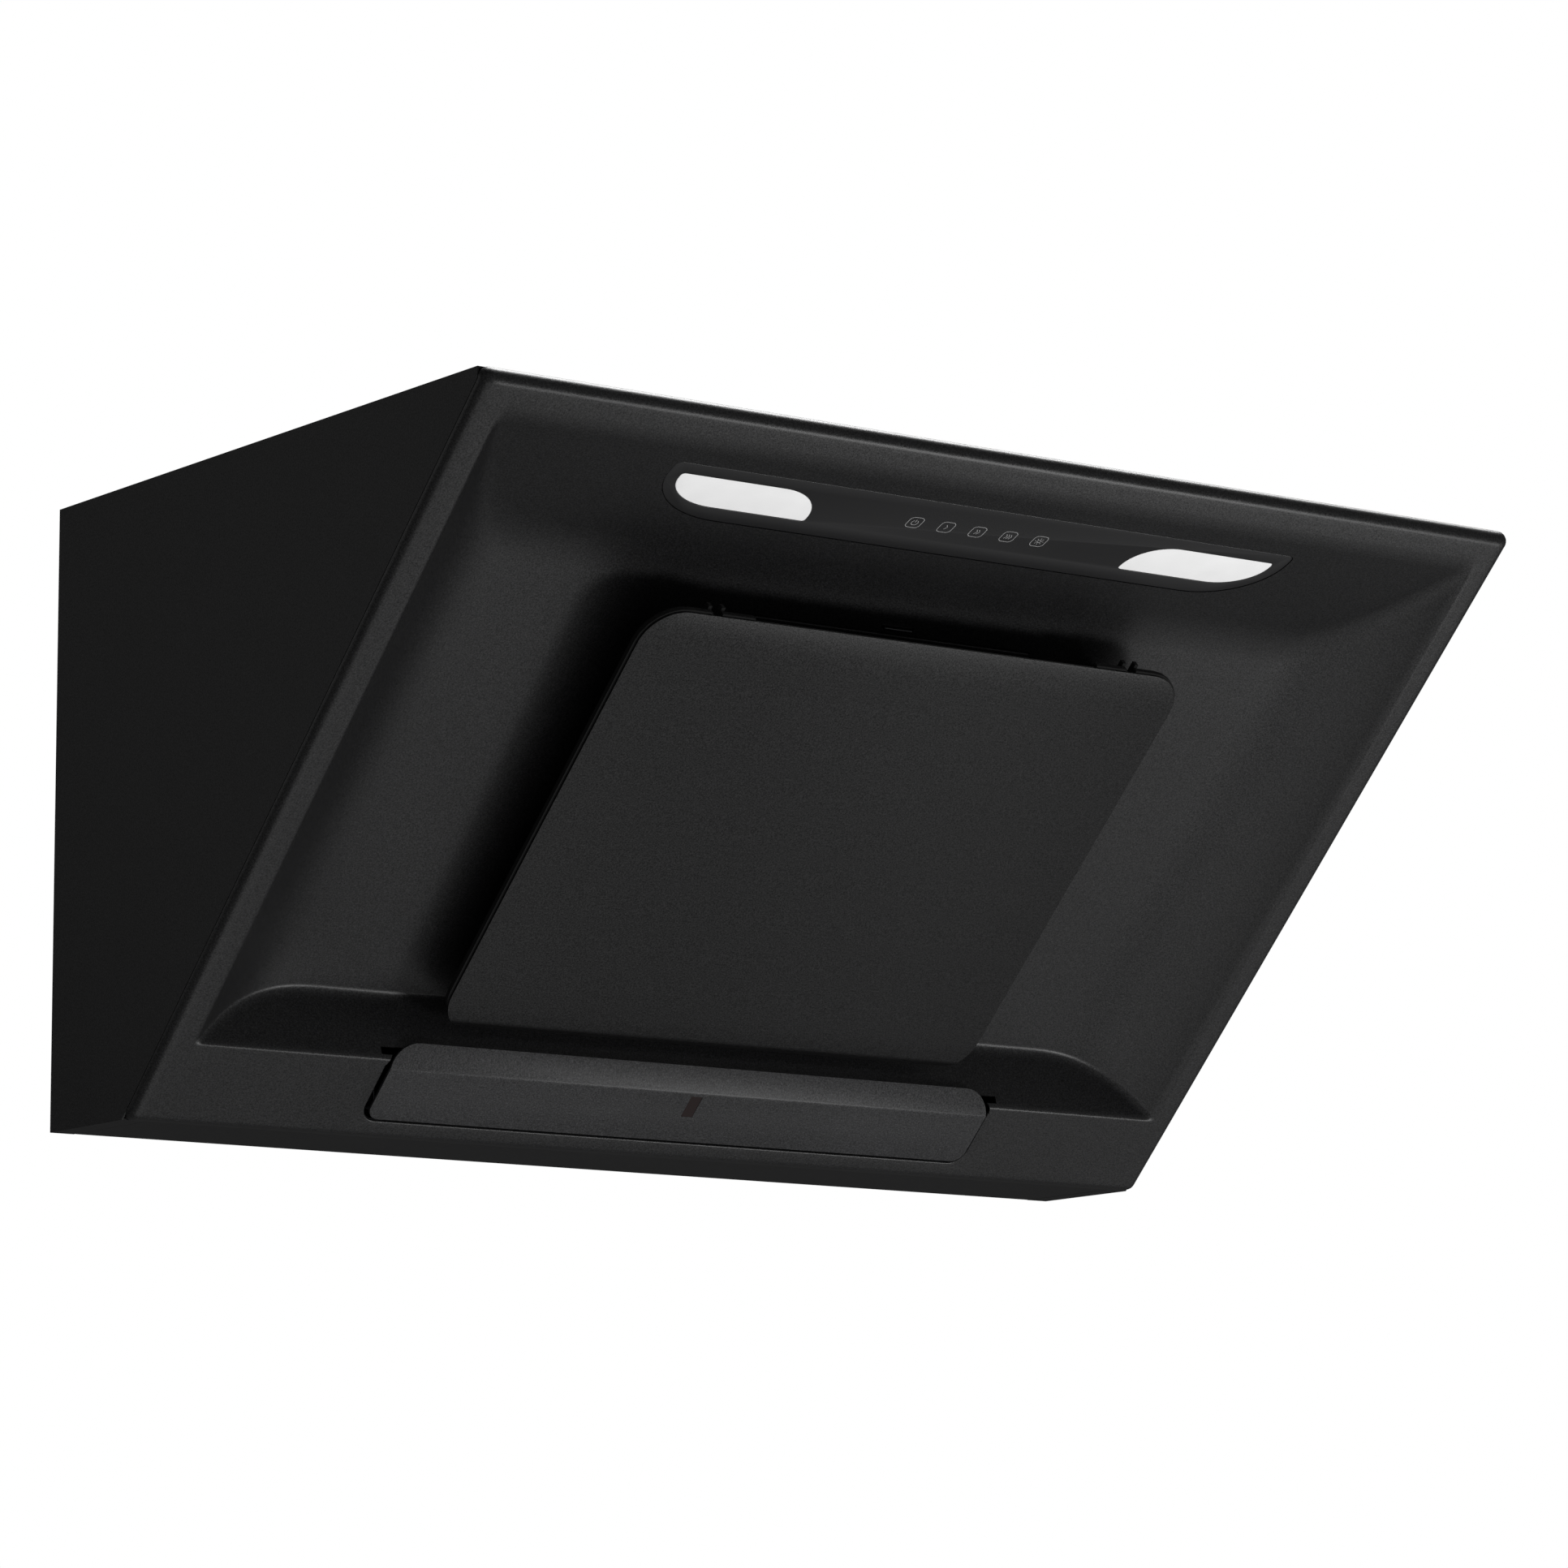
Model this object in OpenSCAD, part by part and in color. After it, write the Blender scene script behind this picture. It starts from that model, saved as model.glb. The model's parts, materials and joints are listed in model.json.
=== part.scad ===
// Inclined wall-mounted extractor hood, millimetres, +Z up.
// Origin: centre of the wall face. The room is on the -Y side and +X is to the right
// of someone who faces the hood.

/* [Body] */
// Overall width
body_w = 895; // [760:1:1000]
// Height of the casing, without the duct collar
body_h = 445; // [430:1:480]
// Depth of the flat underside
bottom_d = 110; // [105:1:125]
// Sheet steel thickness
sheet = 1.2; // [1:0.1:1.5]
// Radius of the rolled rim
rim_r = 7.5; // [5:0.5:9]

/* [Recess] */
// Half width of the drawn recess
recess_hw = 425; // [360:1:430]
// Depth of the recess floor behind the front plane
floor_depth = 44; // [38:1:46]
// Slope of the brow against the front plane, degrees
brow_angle = 21; // [19:0.5:24]

/* [Baffle panel] */
// Half width of the flat suction panel
baffle_hw = 234; // [200:1:250]
// Lower edge of the panel, measured up the slope
baffle_t0 = 88; // [87:1:110]
// Upper edge of the panel, measured up the slope
baffle_t1 = 459.5; // [457:0.5:462]

/* [Blower] */
// Outer radius of the impeller
impeller_r = 112; // [105:1:114]
// Number of impeller blades
blades = 40; // [24:1:48]
// Outer diameter of the duct collar
duct_dia = 150; // [140:1:152]

/* [Wall fixing] */
// Distance between the wall bolts, left to right
bolt_dx = 600; // [560:10:640]
// Distance between the wall bolts, up and down
bolt_dz = 300; // [280:10:320]
// Radius of the wall bolt holes
bolt_r = 4.5; // [4:0.5:5]

/* [Hidden] */
$fn = 64;

half_w = body_w / 2;
half_h = body_h / 2;
lean = 45;                        // the front plane leans out by 45 degrees
apex_y = -(bottom_d + body_h);    // where the front plane would meet the top plane
slope_len = body_h * sqrt(2);
seam = 8;                         // depth of the rim's return, behind the front plane
gap = 0.3;                        // clearance between neighbouring sheets

// recess, in slope coordinates: t up the slope, n out of the front plane
recess_t0 = 68;
recess_t1 = 592;
scoop_w = 110;                    // width of the curved side of the recess
wall_tilt = 28;                   // lean of the lower wall of the recess
filter_hw = 122;
filter_t0 = 150;
filter_t1 = 441;

// blower, horizontal axis along Y
fan_x = -116;
fan_z = 0;
fan_back = -6;
fan_depth = 106;
scroll_r0 = 121;                  // at the tongue
scroll_r1 = 172;                  // at the outlet
outlet_w = 112;
outlet_z = 165;
ring_r = 96;                      // where the inlet ring's bell starts to turn in
collar_y = -87;
collar_h = 45;
flange_screws_r = 81;             // circle of the collar's four screws
screw_hole_r = 2.1;
pin_z = half_h + 14;              // damper pin above the top panel
pin_r = 1.5;

// baffle hinge axis, in slope coordinates
hinge_t = 448;
hinge_n = -15;
hinge_x = 182;
hinge_pin_r = 2.5;
// the closed panel leans in by a little towards its lower edge
panel_tilt = 1.2;
// depths in the panel's own coordinates, whose zero is 11 mm above the hinge axis
hinge_p = -11;
back_frame_p = -6.5;              // back of the panel's back frame

// drip tray, height limits of its trough
tray_z0 = -half_h + 21;
tray_z1 = -half_h + 42.5;
tray_hw = 250;
cover_hw = 265;
cover_t0 = 16;
cover_gap = 3;                    // between the cover and the edge of its mouth
crease_t = 61;
cover_strip = 20;                 // length of the cover's bent-back upper strip
cover_bend = 30;                  // how far it leans in, degrees
cover_back = -0.2;                // back of the cover, just inside the front plane
cover_proud = 1.8;                // front of the cover at its lower edge
cover_crest = 2.4;                // front of the cover at its crease
cover_t1 = crease_t + cover_strip * cos(cover_bend);

window_hw = 5;
window_t0 = 39;
window_t1 = 58;

// control strip, in brow coordinates: y up the brow, z out of it
strip_hw = 270;
strip_y0 = -78;
strip_y1 = -21.5;
lens_x0 = 138;
lens_x1 = 259;
lens_y0 = -64.5;
lens_y1 = -33.2;
glass_t = 2;

steel_black = [0.13, 0.13, 0.13];
frame_black = [0.19, 0.19, 0.19];
plastic_black = [0.05, 0.05, 0.05];
zinc = [0.72, 0.73, 0.74];

// ---- frames of reference ----
// slope coordinates: x across, y up the slope from the lower front edge, z outward
module on_slope() { translate([0, -bottom_d, -half_h]) rotate([90 + lean, 0, 0]) children(); }
// brow coordinates: x across, y up the brow to the recess's upper edge, z outward
module on_brow() { on_slope() translate([0, recess_t1, 0]) rotate([brow_angle, 0, 0]) children(); }
// slope coordinates leant with the closed panel
module on_panel() {
  on_slope() translate([0, hinge_t, hinge_n]) rotate([panel_tilt, 0, 0])
    translate([0, -hinge_t, -hinge_p]) children();
}
// extrudes a (y, z) outline across the body, centred on x
module across(w) { rotate([90, 0, 90]) linear_extrude(w, center = true) children(); }
// extrudes a (t, n) outline across the body, inside on_slope() or on_brow()
module across_slope(w) { rotate([90, 0, 90]) linear_extrude(w, center = true) children(); }
// extrudes an (x, n) outline up the slope, inside on_slope()
module up_slope(t0, t1) {
  translate([0, t1, 0]) rotate([90, 0, 0]) linear_extrude(t1 - t0) children();
}
// a cylinder along Y from y0 to y1
module along_y(r, y0, y1) { translate([0, y1, 0]) rotate([90, 0, 0]) cylinder(r = r, h = y1 - y0); }
// a cylinder along X, centred
module along_x(r, len) { rotate([0, 90, 0]) cylinder(r = r, h = len, center = true); }
// turns a shape made around Z so that its axis is the fan's and +Z becomes -Y
module on_fan() { translate([fan_x, 0, fan_z]) rotate([90, 0, 0]) children(); }
// a box from one corner to the other
module span_box(lo, hi) { translate(lo) cube(hi - lo); }

// ---- outlines ----
function oval_arc(c, rx, ry, a0, a1, steps) =
  [for (i = [0 : steps]) let (a = a0 + (a1 - a0) * i / steps) c + [rx * cos(a), ry * sin(a)]];
function arc(c, r, a0, a1, steps) = oval_arc(c, r, r, a0, a1, steps);
// rectangle with its own corners, [low left, low right, top right, top left], each [across, up]
function oval_box(lo, hi, r, steps = 6) = concat(
  oval_arc([lo[0] + r[0][0], lo[1] + r[0][1]], r[0][0], r[0][1], 180, 270, steps),
  oval_arc([hi[0] - r[1][0], lo[1] + r[1][1]], r[1][0], r[1][1], 270, 360, steps),
  oval_arc([hi[0] - r[2][0], hi[1] - r[2][1]], r[2][0], r[2][1], 0, 90, steps),
  oval_arc([lo[0] + r[3][0], hi[1] - r[3][1]], r[3][0], r[3][1], 90, 180, steps));
function round_box(lo, hi, r, steps = 6) = oval_box(lo, hi, [for (c = r) [c, c]], steps);

// section of the rim in (y, z): skin is 0 for its outside and the sheet for its inside
function rim_section(skin) = let (
    low_r = 6 - skin,
    roll_r = rim_r - skin,
    low_c = [-bottom_d + 6 * (sqrt(2) - 1), -half_h + 6],
    roll_c = [apex_y + rim_r * (1 + sqrt(2)), half_h - rim_r],
    end_y = skin == 0 ? 1 : 12,
    back = skin == 0 ? seam : seam + 30
  ) concat(
    [[-bottom_d + back * sqrt(2), -half_h + skin]],
    arc(low_c, low_r, 270, 225, 3),
    arc(roll_c, roll_r, 225, 90, 9),
    [[roll_c[0] + end_y, half_h - skin],
     [roll_c[0] + end_y, half_h + (apex_y + back * sqrt(2)) - (roll_c[0] + end_y)]]);

// the front edge of the casing behind the rim, from the underside to the top
function seam_edge() = let (end_y = apex_y + rim_r * (1 + sqrt(2)) + 1 + gap) [
  [-bottom_d + seam * sqrt(2) + gap, -half_h],
  [end_y, half_h + apex_y + seam * sqrt(2) + gap - end_y],
  [end_y, half_h]];

// depth of the recess's curved sides at a distance x from the middle
function scoop(x, hw, depth) = let (u = min(1, max(0, (hw - abs(x)) / scoop_w)))
  depth * (1 - pow(1 - u, 2.6));
// section of the recess across the body, in (x, n), grown by the sheet for its outside
function recess_across(grow) = let (hw = recess_hw + grow, depth = floor_depth + grow, steps = 11)
  concat(
    [[-hw, 6]],
    [for (i = [0 : steps]) let (x = -hw + scoop_w * i / steps) [x, -scoop(x, hw, depth)]],
    [for (i = [steps : -1 : 0]) let (x = hw - scoop_w * i / steps) [x, -scoop(x, hw, depth)]],
    [[hw, 6]]);
// section of the recess up the slope, in (t, n)
function recess_up(grow) = let (
    depth = floor_depth + grow,
    low = recess_t0 - grow / cos(wall_tilt),
    top = recess_t1 + grow / sin(brow_angle)
  ) [[low, 6], [low, 0], [low + depth * tan(wall_tilt), -depth],
     [top - depth / tan(brow_angle), -depth], [top, 0], [top, 6]];

module recess_solid(grow) {
  intersection() {
    up_slope(recess_t0 - 10, recess_t1 + 12) polygon(recess_across(grow));
    across_slope(2 * recess_hw + 10) polygon(recess_up(grow));
  }
}

module rim_solid(skin) {
  intersection() {
    across(body_w + 20) polygon(rim_section(skin));
    on_slope() up_slope(-40, slope_len + 10)
      polygon(concat(
        [[-half_w + skin, -90], [half_w - skin, -90]],
        arc([half_w - rim_r, -rim_r], rim_r - skin, 0, 90, 6),
        arc([-half_w + rim_r, -rim_r], rim_r - skin, 90, 180, 6)));
  }
}

module strip_outline(grow) {
  polygon(oval_box([-strip_hw - grow, strip_y0 - grow], [strip_hw + grow, strip_y1 + grow],
                   [for (c = [[65, 46], [65, 46], [5, 5], [5, 5]])
                    [max(c[0] + grow, 0.5), max(c[1] + grow, 0.5)]]));
}
// leaf-shaped lens: sharp at the outer top and the inner bottom corner
module lens_outline(side, grow) {
  mirror([side < 0 ? 1 : 0, 0, 0])
    polygon(oval_box([lens_x0 - grow, lens_y0 - grow], [lens_x1 + grow, lens_y1 + grow],
                     [[2.5, 2.5], [42, 28], [2.5, 2.5], [36, 28]]));
}

// the inside of the scroll in fan coordinates, grown by the sheet for its outside
function scroll_outline(grow) = concat(
  [for (i = [0 : 30]) let (a = 60 + 10 * i, r = scroll_r0 + (scroll_r1 - scroll_r0) * i / 30 + grow)
    [r * cos(a), r * sin(a)]],
  [[scroll_r1 + grow, outlet_z - fan_z], [scroll_r1 - outlet_w - grow, outlet_z - fan_z]]);

// ---- casing ----
module front_frame() {
  color(frame_black) difference() {
    union() {
      difference() { rim_solid(0); rim_solid(sheet); }
      on_slope() intersection() {
        recess_solid(sheet);
        span_box([-half_w, 0, -floor_depth - 2], [half_w, slope_len, 0]);
      }
    }
    on_slope() {
      recess_solid(0);
      span_box([-filter_hw, filter_t0, -floor_depth - 3], [filter_hw, filter_t1, -floor_depth + 3]);
      span_box([-14, filter_t1 + 3, -floor_depth - 3], [14, filter_t1 + 6, -floor_depth + 3]);
      // mouth for the tray, cut through the crease between the border and the lower wall
      translate([0, 0, -10]) linear_extrude(14) polygon(
        round_box([-cover_hw - cover_gap, cover_t0 - cover_gap], [cover_hw + cover_gap, recess_t0 + 4.5],
                  [12, 12, 10, 10]));
    }
    on_brow() translate([0, 0, -3]) linear_extrude(8) strip_outline(0.4);
  }
}

module side_panel(side) {
  edge = seam_edge();
  flange = 19;
  color(steel_black) mirror([side < 0 ? 1 : 0, 0, 0]) {
    translate([half_w - sheet / 2, 0, 0]) across(sheet)
      polygon(concat([[0, half_h], [0, -half_h]], edge));
    span_box([half_w - flange, edge[0][0], -half_h], [half_w - sheet, 0, -half_h + sheet]);
    difference() {
      span_box([half_w - flange, edge[2][0] + 40, half_h - 2 * sheet - 0.05],
               [half_w - sheet, -20, half_h - sheet - 0.05]);
      for (y = [-440 : 120 : -80]) translate([half_w - 10, y, 0]) cylinder(r = screw_hole_r, h = half_h + 1);
    }
    span_box([half_w - flange, -2 * sheet - 0.05, -half_h + 10],
             [half_w - sheet, -sheet - 0.05, half_h - 10]);
  }
}
module left_side_panel() side_panel(-1);
module right_side_panel() side_panel(1);

module top_panel() {
  edge = seam_edge();
  color(steel_black) difference() {
    union() {
      span_box([-half_w + sheet, edge[2][0], half_h - sheet], [half_w - sheet, 0, half_h]);
      // stiffening flange behind the rim
      span_box([-half_w + 24, edge[2][0] + 4, half_h - 16], [half_w - 24, edge[2][0] + 4 + sheet, half_h - sheet]);
    }
    translate([0, collar_y, half_h - 5]) cylinder(r = duct_dia / 2 - sheet, h = 10);
    for (side = [-1, 1], y = [-440 : 120 : -80])
      translate([side * (half_w - 10), y, half_h - 5]) cylinder(r = screw_hole_r, h = 10);
    collar_screw_holes();
    translate([250, -60, half_h - 5]) cylinder(r = 8.1, h = 10);
  }
}

module back_panel() {
  color(steel_black) difference() {
    span_box([-half_w + sheet, -sheet, -half_h + sheet], [half_w - sheet, 0, half_h - sheet]);
    wall_bolt_holes();
  }
}
module wall_bolt_holes() {
  for (x = [-bolt_dx / 2, bolt_dx / 2], z = [-bolt_dz / 2, bolt_dz / 2])
    translate([x, 0, z]) along_y(bolt_r, -10, 1);
}

module bottom_panel() {
  edge = seam_edge();
  color(steel_black)
    span_box([-half_w + 19 + gap, edge[0][0], -half_h], [half_w - 19 - gap, -sheet, -half_h + sheet]);
}

// thick plates that take the wall bolts
module wall_plates() {
  color(zinc) difference() {
    for (side = [-1, 1])
      span_box([side * bolt_dx / 2 - 30, -sheet - 3, -bolt_dz / 2 - 30],
               [side * bolt_dx / 2 + 30, -sheet, bolt_dz / 2 + 30]);
    wall_bolt_holes();
  }
}

module pan_screw(r, len) { cylinder(r = 2 * r, h = 1.2 * r); translate([0, 0, -len]) cylinder(r = r, h = len); }
module panel_screws() {
  color(zinc) for (side = [-1, 1], y = [-440 : 120 : -80])
    translate([side * (half_w - 10), y, half_h]) pan_screw(2, 8);
}

// ---- blower ----
module scroll_housing() {
  color(zinc) difference() {
    on_fan() translate([0, 0, -fan_back]) difference() {
      linear_extrude(fan_depth) polygon(scroll_outline(sheet));
      translate([0, 0, sheet]) linear_extrude(fan_depth) polygon(scroll_outline(0));
      // open at the outlet
      translate([scroll_r1 - outlet_w, outlet_z - fan_z - 10, sheet]) cube([outlet_w, 20, fan_depth]);
    }
    on_fan() for (a = [30 : 120 : 270])
      translate([36 * cos(a), 36 * sin(a), 0]) cylinder(r = screw_hole_r, h = 20);
  }
}
module scroll_cover() {
  color(zinc) on_fan() translate([0, 0, -fan_back + fan_depth]) difference() {
    linear_extrude(sheet) polygon(scroll_outline(sheet));
    cylinder(r = ring_r + 0.1, h = 10, center = true);
  }
}
// bell-mouthed ring that leads air into the impeller
module inlet_ring() {
  plate = -fan_back + fan_depth + sheet;
  wall = 1.5;
  bell = 9;
  color(plastic_black) on_fan() rotate_extrude() polygon(concat(
    [[ring_r + 4, plate], [ring_r + 4, plate + wall]],
    arc([ring_r, plate + wall - bell], bell, 90, 180, 6),
    [[ring_r - bell, plate - 13], [ring_r - bell + wall, plate - 13]],
    arc([ring_r, plate + wall - bell], bell - wall, 180, 90, 6)));
}
// widens the scroll's outlet to the round collar
module outlet_box() {
  x1 = 82;
  y0 = -168;
  y1 = -8;
  z1 = half_h - sheet - 0.05;
  color(zinc) difference() {
    span_box([-x1, y0, outlet_z + 0.05], [x1, y1, z1]);
    span_box([-x1 + sheet, y0 + sheet, outlet_z + sheet], [x1 - sheet, y1 - sheet, z1 - sheet]);
    span_box([fan_x + scroll_r1 - outlet_w, fan_back - fan_depth, outlet_z - 1],
             [fan_x + scroll_r1, y1 - sheet, outlet_z + 4]);
    translate([0, collar_y, z1 - 5]) cylinder(r = duct_dia / 2 - sheet, h = 10);
    collar_screw_holes();
  }
}
module rubber_bushes() {
  color(plastic_black) on_fan() for (a = [15 : 90 : 285])
    translate([100 * cos(a), 100 * sin(a), sheet]) cylinder(r = 9, h = -fan_back - sheet);
}
module motor() {
  base = -fan_back + sheet;
  color([0.55, 0.56, 0.58]) on_fan() difference() {
    union() {
      translate([0, 0, base]) cylinder(r = 48, h = 46);
      translate([0, 0, base + 46]) cylinder(r = 20, h = 5);
      // cooling ribs
      for (a = [0 : 30 : 330]) rotate([0, 0, a])
        span_box([40, -1.5, base + 6], [51, 1.5, base + 40]);
    }
    translate([0, 0, base + 8]) cylinder(r = 6.05, h = 60);
    for (a = [30 : 120 : 270])
      translate([36 * cos(a), 36 * sin(a), base - 1]) cylinder(r = 2.05, h = 12);
  }
}
module motor_shaft() {
  color(zinc) on_fan() translate([0, 0, -fan_back + 12]) cylinder(r = 6, h = 76);
}
module motor_screws() {
  color(zinc) on_fan() for (a = [30 : 120 : 270])
    translate([36 * cos(a), 36 * sin(a), -fan_back]) mirror([0, 0, 1]) pan_screw(2, 10);
}
module impeller() {
  back = 14.5;                    // nearest point to the wall
  hub = 66;                       // where the cup carries the hub
  front = 105;
  color([0.62, 0.63, 0.65]) on_fan() {
    difference() {
      rotate_extrude() polygon([
        [0, hub], [56, hub], [56, back], [impeller_r, back], [impeller_r, back + 1.5],
        [57.5, back + 1.5], [57.5, hub + 1.5], [16, hub + 1.5], [14, hub + 14], [0, hub + 14]]);
      translate([0, 0, hub - 5]) cylinder(r = 6, h = 30);
    }
    rotate_extrude() polygon([[impeller_r - 17, front - 2], [impeller_r, front - 2],
                              [impeller_r, front], [impeller_r - 17, front]]);
    for (i = [0 : blades - 1]) rotate([0, 0, 360 * i / blades]) translate([impeller_r - 15.5, 0, back + 0.8])
      rotate([0, 0, -32]) cube([15, 0.8, front - back - 2]);
  }
}
module impeller_nut() {
  color(zinc) on_fan() translate([0, 0, 80]) difference() {
    cylinder(r = 10, h = 7, $fn = 6);
    cylinder(r = 6, h = 30, center = true);
  }
}

// ---- duct collar and damper ----
module duct_collar() {
  color([0.08, 0.08, 0.08]) difference() {
    union() {
      translate([0, collar_y, half_h]) cylinder(r = duct_dia / 2, h = collar_h);
      translate([0, collar_y, half_h]) cylinder(r = 90 - 4, h = 1.5);
    }
    translate([0, collar_y, half_h - 1]) cylinder(r = duct_dia / 2 - sheet, h = collar_h + 5);
    translate([0, collar_y, pin_z]) along_y(pin_r, -duct_dia, duct_dia);
    collar_screw_holes();
  }
}
module at_collar_screws(z) {
  for (a = [45 : 90 : 315])
    translate([flange_screws_r * cos(a), collar_y + flange_screws_r * sin(a), z]) children();
}
module collar_screw_holes() { at_collar_screws(half_h - 5) cylinder(r = 1.6, h = 10); }
module collar_screws() { color(zinc) at_collar_screws(half_h + 1.5) pan_screw(1.5, 4); }
module damper_pin() {
  color(zinc) translate([0, collar_y, pin_z]) along_y(pin_r, -duct_dia / 2, duct_dia / 2);
}
// half-disc flap, hinged on the pin by two sleeves
module damper_flap(side) {
  flap_r = duct_dia / 2 - sheet - 1;
  sleeves = side < 0 ? [[-58, -40], [6, 24]] : [[-24, -6], [40, 58]];
  color([0.2, 0.2, 0.2]) translate([0, collar_y, pin_z]) mirror([side < 0 ? 1 : 0, 0, 0]) difference() {
    union() {
      intersection() {
        translate([0, 0, -0.6]) cylinder(r = flap_r, h = 1.2);
        span_box([4, -flap_r, -1], [flap_r, flap_r, 1]);
      }
      for (s = sleeves) {
        along_y(3.2, s[0], s[1]);
        span_box([0, s[0], -0.6], [5, s[1], 0.6]);
      }
    }
    along_y(pin_r + 0.1, -duct_dia, duct_dia);
  }
}
module damper_flap_left() damper_flap(-1);
module damper_flap_right() damper_flap(1);

// ---- grease filter ----
module filter_frame() {
  hw = filter_hw - 1;
  t0 = filter_t0 + 1;
  t1 = filter_t1 - 1;
  color([0.5, 0.51, 0.52]) on_slope() difference() {
    span_box([-hw, t0, -floor_depth - 8], [hw, t1, -floor_depth + 1]);
    span_box([-hw + 9, t0 + 9, -floor_depth - 9], [hw - 9, t1 - 9, -floor_depth + 2]);
  }
}
module filter_mesh() {
  hw = filter_hw - 10;
  t0 = filter_t0 + 10;
  t1 = filter_t1 - 10;
  cols = 11;
  rows = 11;
  px = 2 * hw / cols;
  pt = (t1 - t0) / rows;
  bar = 2.5;
  color([0.6, 0.61, 0.62]) on_slope() difference() {
    span_box([-hw, t0, -floor_depth - 5], [hw, t1, -floor_depth - 3]);
    for (i = [0 : cols - 1], j = [0 : rows - 1])
      span_box([-hw + i * px + bar, t0 + j * pt + bar, -floor_depth - 6],
               [-hw + (i + 1) * px - bar, t0 + (j + 1) * pt - bar, -floor_depth]);
  }
}
// sprung catch that reaches through the slot above the filter
module filter_catch() {
  color(zinc) on_slope() {
    span_box([-12, filter_t1 + 3.8, -floor_depth - 12], [12, filter_t1 + 5, -floor_depth + 2]);
    span_box([-12, filter_t1 + 3.8, -floor_depth - 13.2], [12, filter_t1 + 24, -floor_depth - 12]);
  }
}

// ---- baffle panel ----
// arms that reach up from the recess's floor to the hinge
module hinge_brackets() {
  boss = 5.5;
  color(plastic_black) on_slope() for (side = [-1, 1]) translate([side * hinge_x, 0, 0]) difference() {
    union() {
      across_slope(5) polygon([[hinge_t - 32, -floor_depth], [hinge_t - 13, -floor_depth],
                               [hinge_t + 4, hinge_n - 4], [hinge_t - 4, hinge_n + 4]]);
      translate([0, hinge_t, hinge_n]) along_x(boss, 5);
      span_box([-9, hinge_t - 34, -floor_depth], [9, hinge_t - 11, -floor_depth + 2]);
    }
    translate([0, hinge_t, hinge_n]) along_x(hinge_pin_r + 0.06, 20);
  }
}
// posts with magnets that hold the closed panel
module catch_posts() {
  color(plastic_black) on_slope() for (side = [-1, 1])
    span_box([side * 205 - 8, 150, -floor_depth], [side * 205 + 8, 166, -23.5]);
}
module baffle_plate() {
  roll = 11;
  face = -1;
  thick = 1.5;
  color(frame_black) on_panel() intersection() {
    translate([0, 0, -40]) linear_extrude(60)
      polygon(round_box([-baffle_hw, baffle_t0], [baffle_hw, baffle_t1], [30, 30, 30, 30]));
    union() {
      span_box([-baffle_hw, baffle_t0 + roll, face - thick], [baffle_hw, baffle_t1, face]);
      across_slope(2 * baffle_hw) polygon(concat(
        arc([baffle_t0 + roll, face - roll], roll, 180, 90, 6),
        arc([baffle_t0 + roll, face - roll], roll - thick, 90, 180, 6)));
    }
  }
}
module baffle_back_frame() {
  color(plastic_black) on_panel() difference() {
    translate([0, 0, back_frame_p]) linear_extrude(4) polygon(
      round_box([-baffle_hw - 2, baffle_t0 + 12], [baffle_hw + 2, baffle_t1 + 1.5], [20, 20, 32, 32]));
    span_box([-baffle_hw + 44, baffle_t0 + 62, -10], [baffle_hw - 44, baffle_t1 - 40, 0]);
    // finger gap along the upper edge
    span_box([-150, baffle_t1 - 12, -10], [150, baffle_t1 + 10, 0]);
    for (side = [-1, 1])
      span_box([side * hinge_x - 4, hinge_t - 9, -10], [side * hinge_x + 4, baffle_t1 + 9, 0]);
  }
}
// lugs on both sides of each bracket, which stand a little above the panel
module baffle_hinge_ears() {
  color(plastic_black) on_panel() for (side = [-1, 1], wing = [-1, 1])
    translate([side * hinge_x + wing * 5.5, 0, 0]) difference() {
      union() {
        span_box([-1.5, hinge_t - 6, hinge_p], [1.5, baffle_t1 + 4, back_frame_p]);
        translate([0, hinge_t, hinge_p]) along_x(6, 3);
      }
      translate([0, hinge_t, hinge_p]) along_x(hinge_pin_r, 20);
      span_box([-2, hinge_t - 10, back_frame_p], [2, hinge_t + 10, 0]);
    }
}
module baffle_hinge_pins() {
  color(zinc) on_panel() for (side = [-1, 1])
    translate([side * hinge_x, hinge_t, hinge_p]) along_x(hinge_pin_r, 14);
}
module catch_studs() {
  color(zinc) on_panel() for (side = [-1, 1])
    translate([side * 205, 158, back_frame_p - 6]) cylinder(r = 6, h = 6);
}

// ---- drip tray ----
function slope_y(z, n) = -bottom_d - (z + half_h) - n * sqrt(2);
module tray_runners() {
  color(zinc) for (side = [-1, 1]) mirror([side < 0 ? 1 : 0, 0, 0]) {
    span_box([tray_hw - 8, -124, tray_z0 - 0.5 - sheet], [tray_hw + 8, -60, tray_z0 - 0.5]);
    span_box([tray_hw + 8, -124, tray_z0 - 0.5 - sheet], [tray_hw + 8 + sheet, -60, tray_z0 + 12]);
  }
}
module oil_tray() {
  back_y = -98;
  skin_n = cover_back;
  color([0.1, 0.1, 0.1]) difference() {
    across(2 * tray_hw) polygon([
      [slope_y(tray_z0, skin_n), tray_z0], [back_y, tray_z0],
      [back_y, tray_z1], [slope_y(tray_z1, skin_n), tray_z1]]);
    across(2 * tray_hw - 3) polygon([
      [slope_y(tray_z0 + 1.5, skin_n - 1.5), tray_z0 + 1.5], [back_y - 1.5, tray_z0 + 1.5],
      [back_y - 1.5, tray_z1 + 1], [slope_y(tray_z1 + 1, skin_n - 1.5), tray_z1 + 1]]);
  }
}
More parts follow.
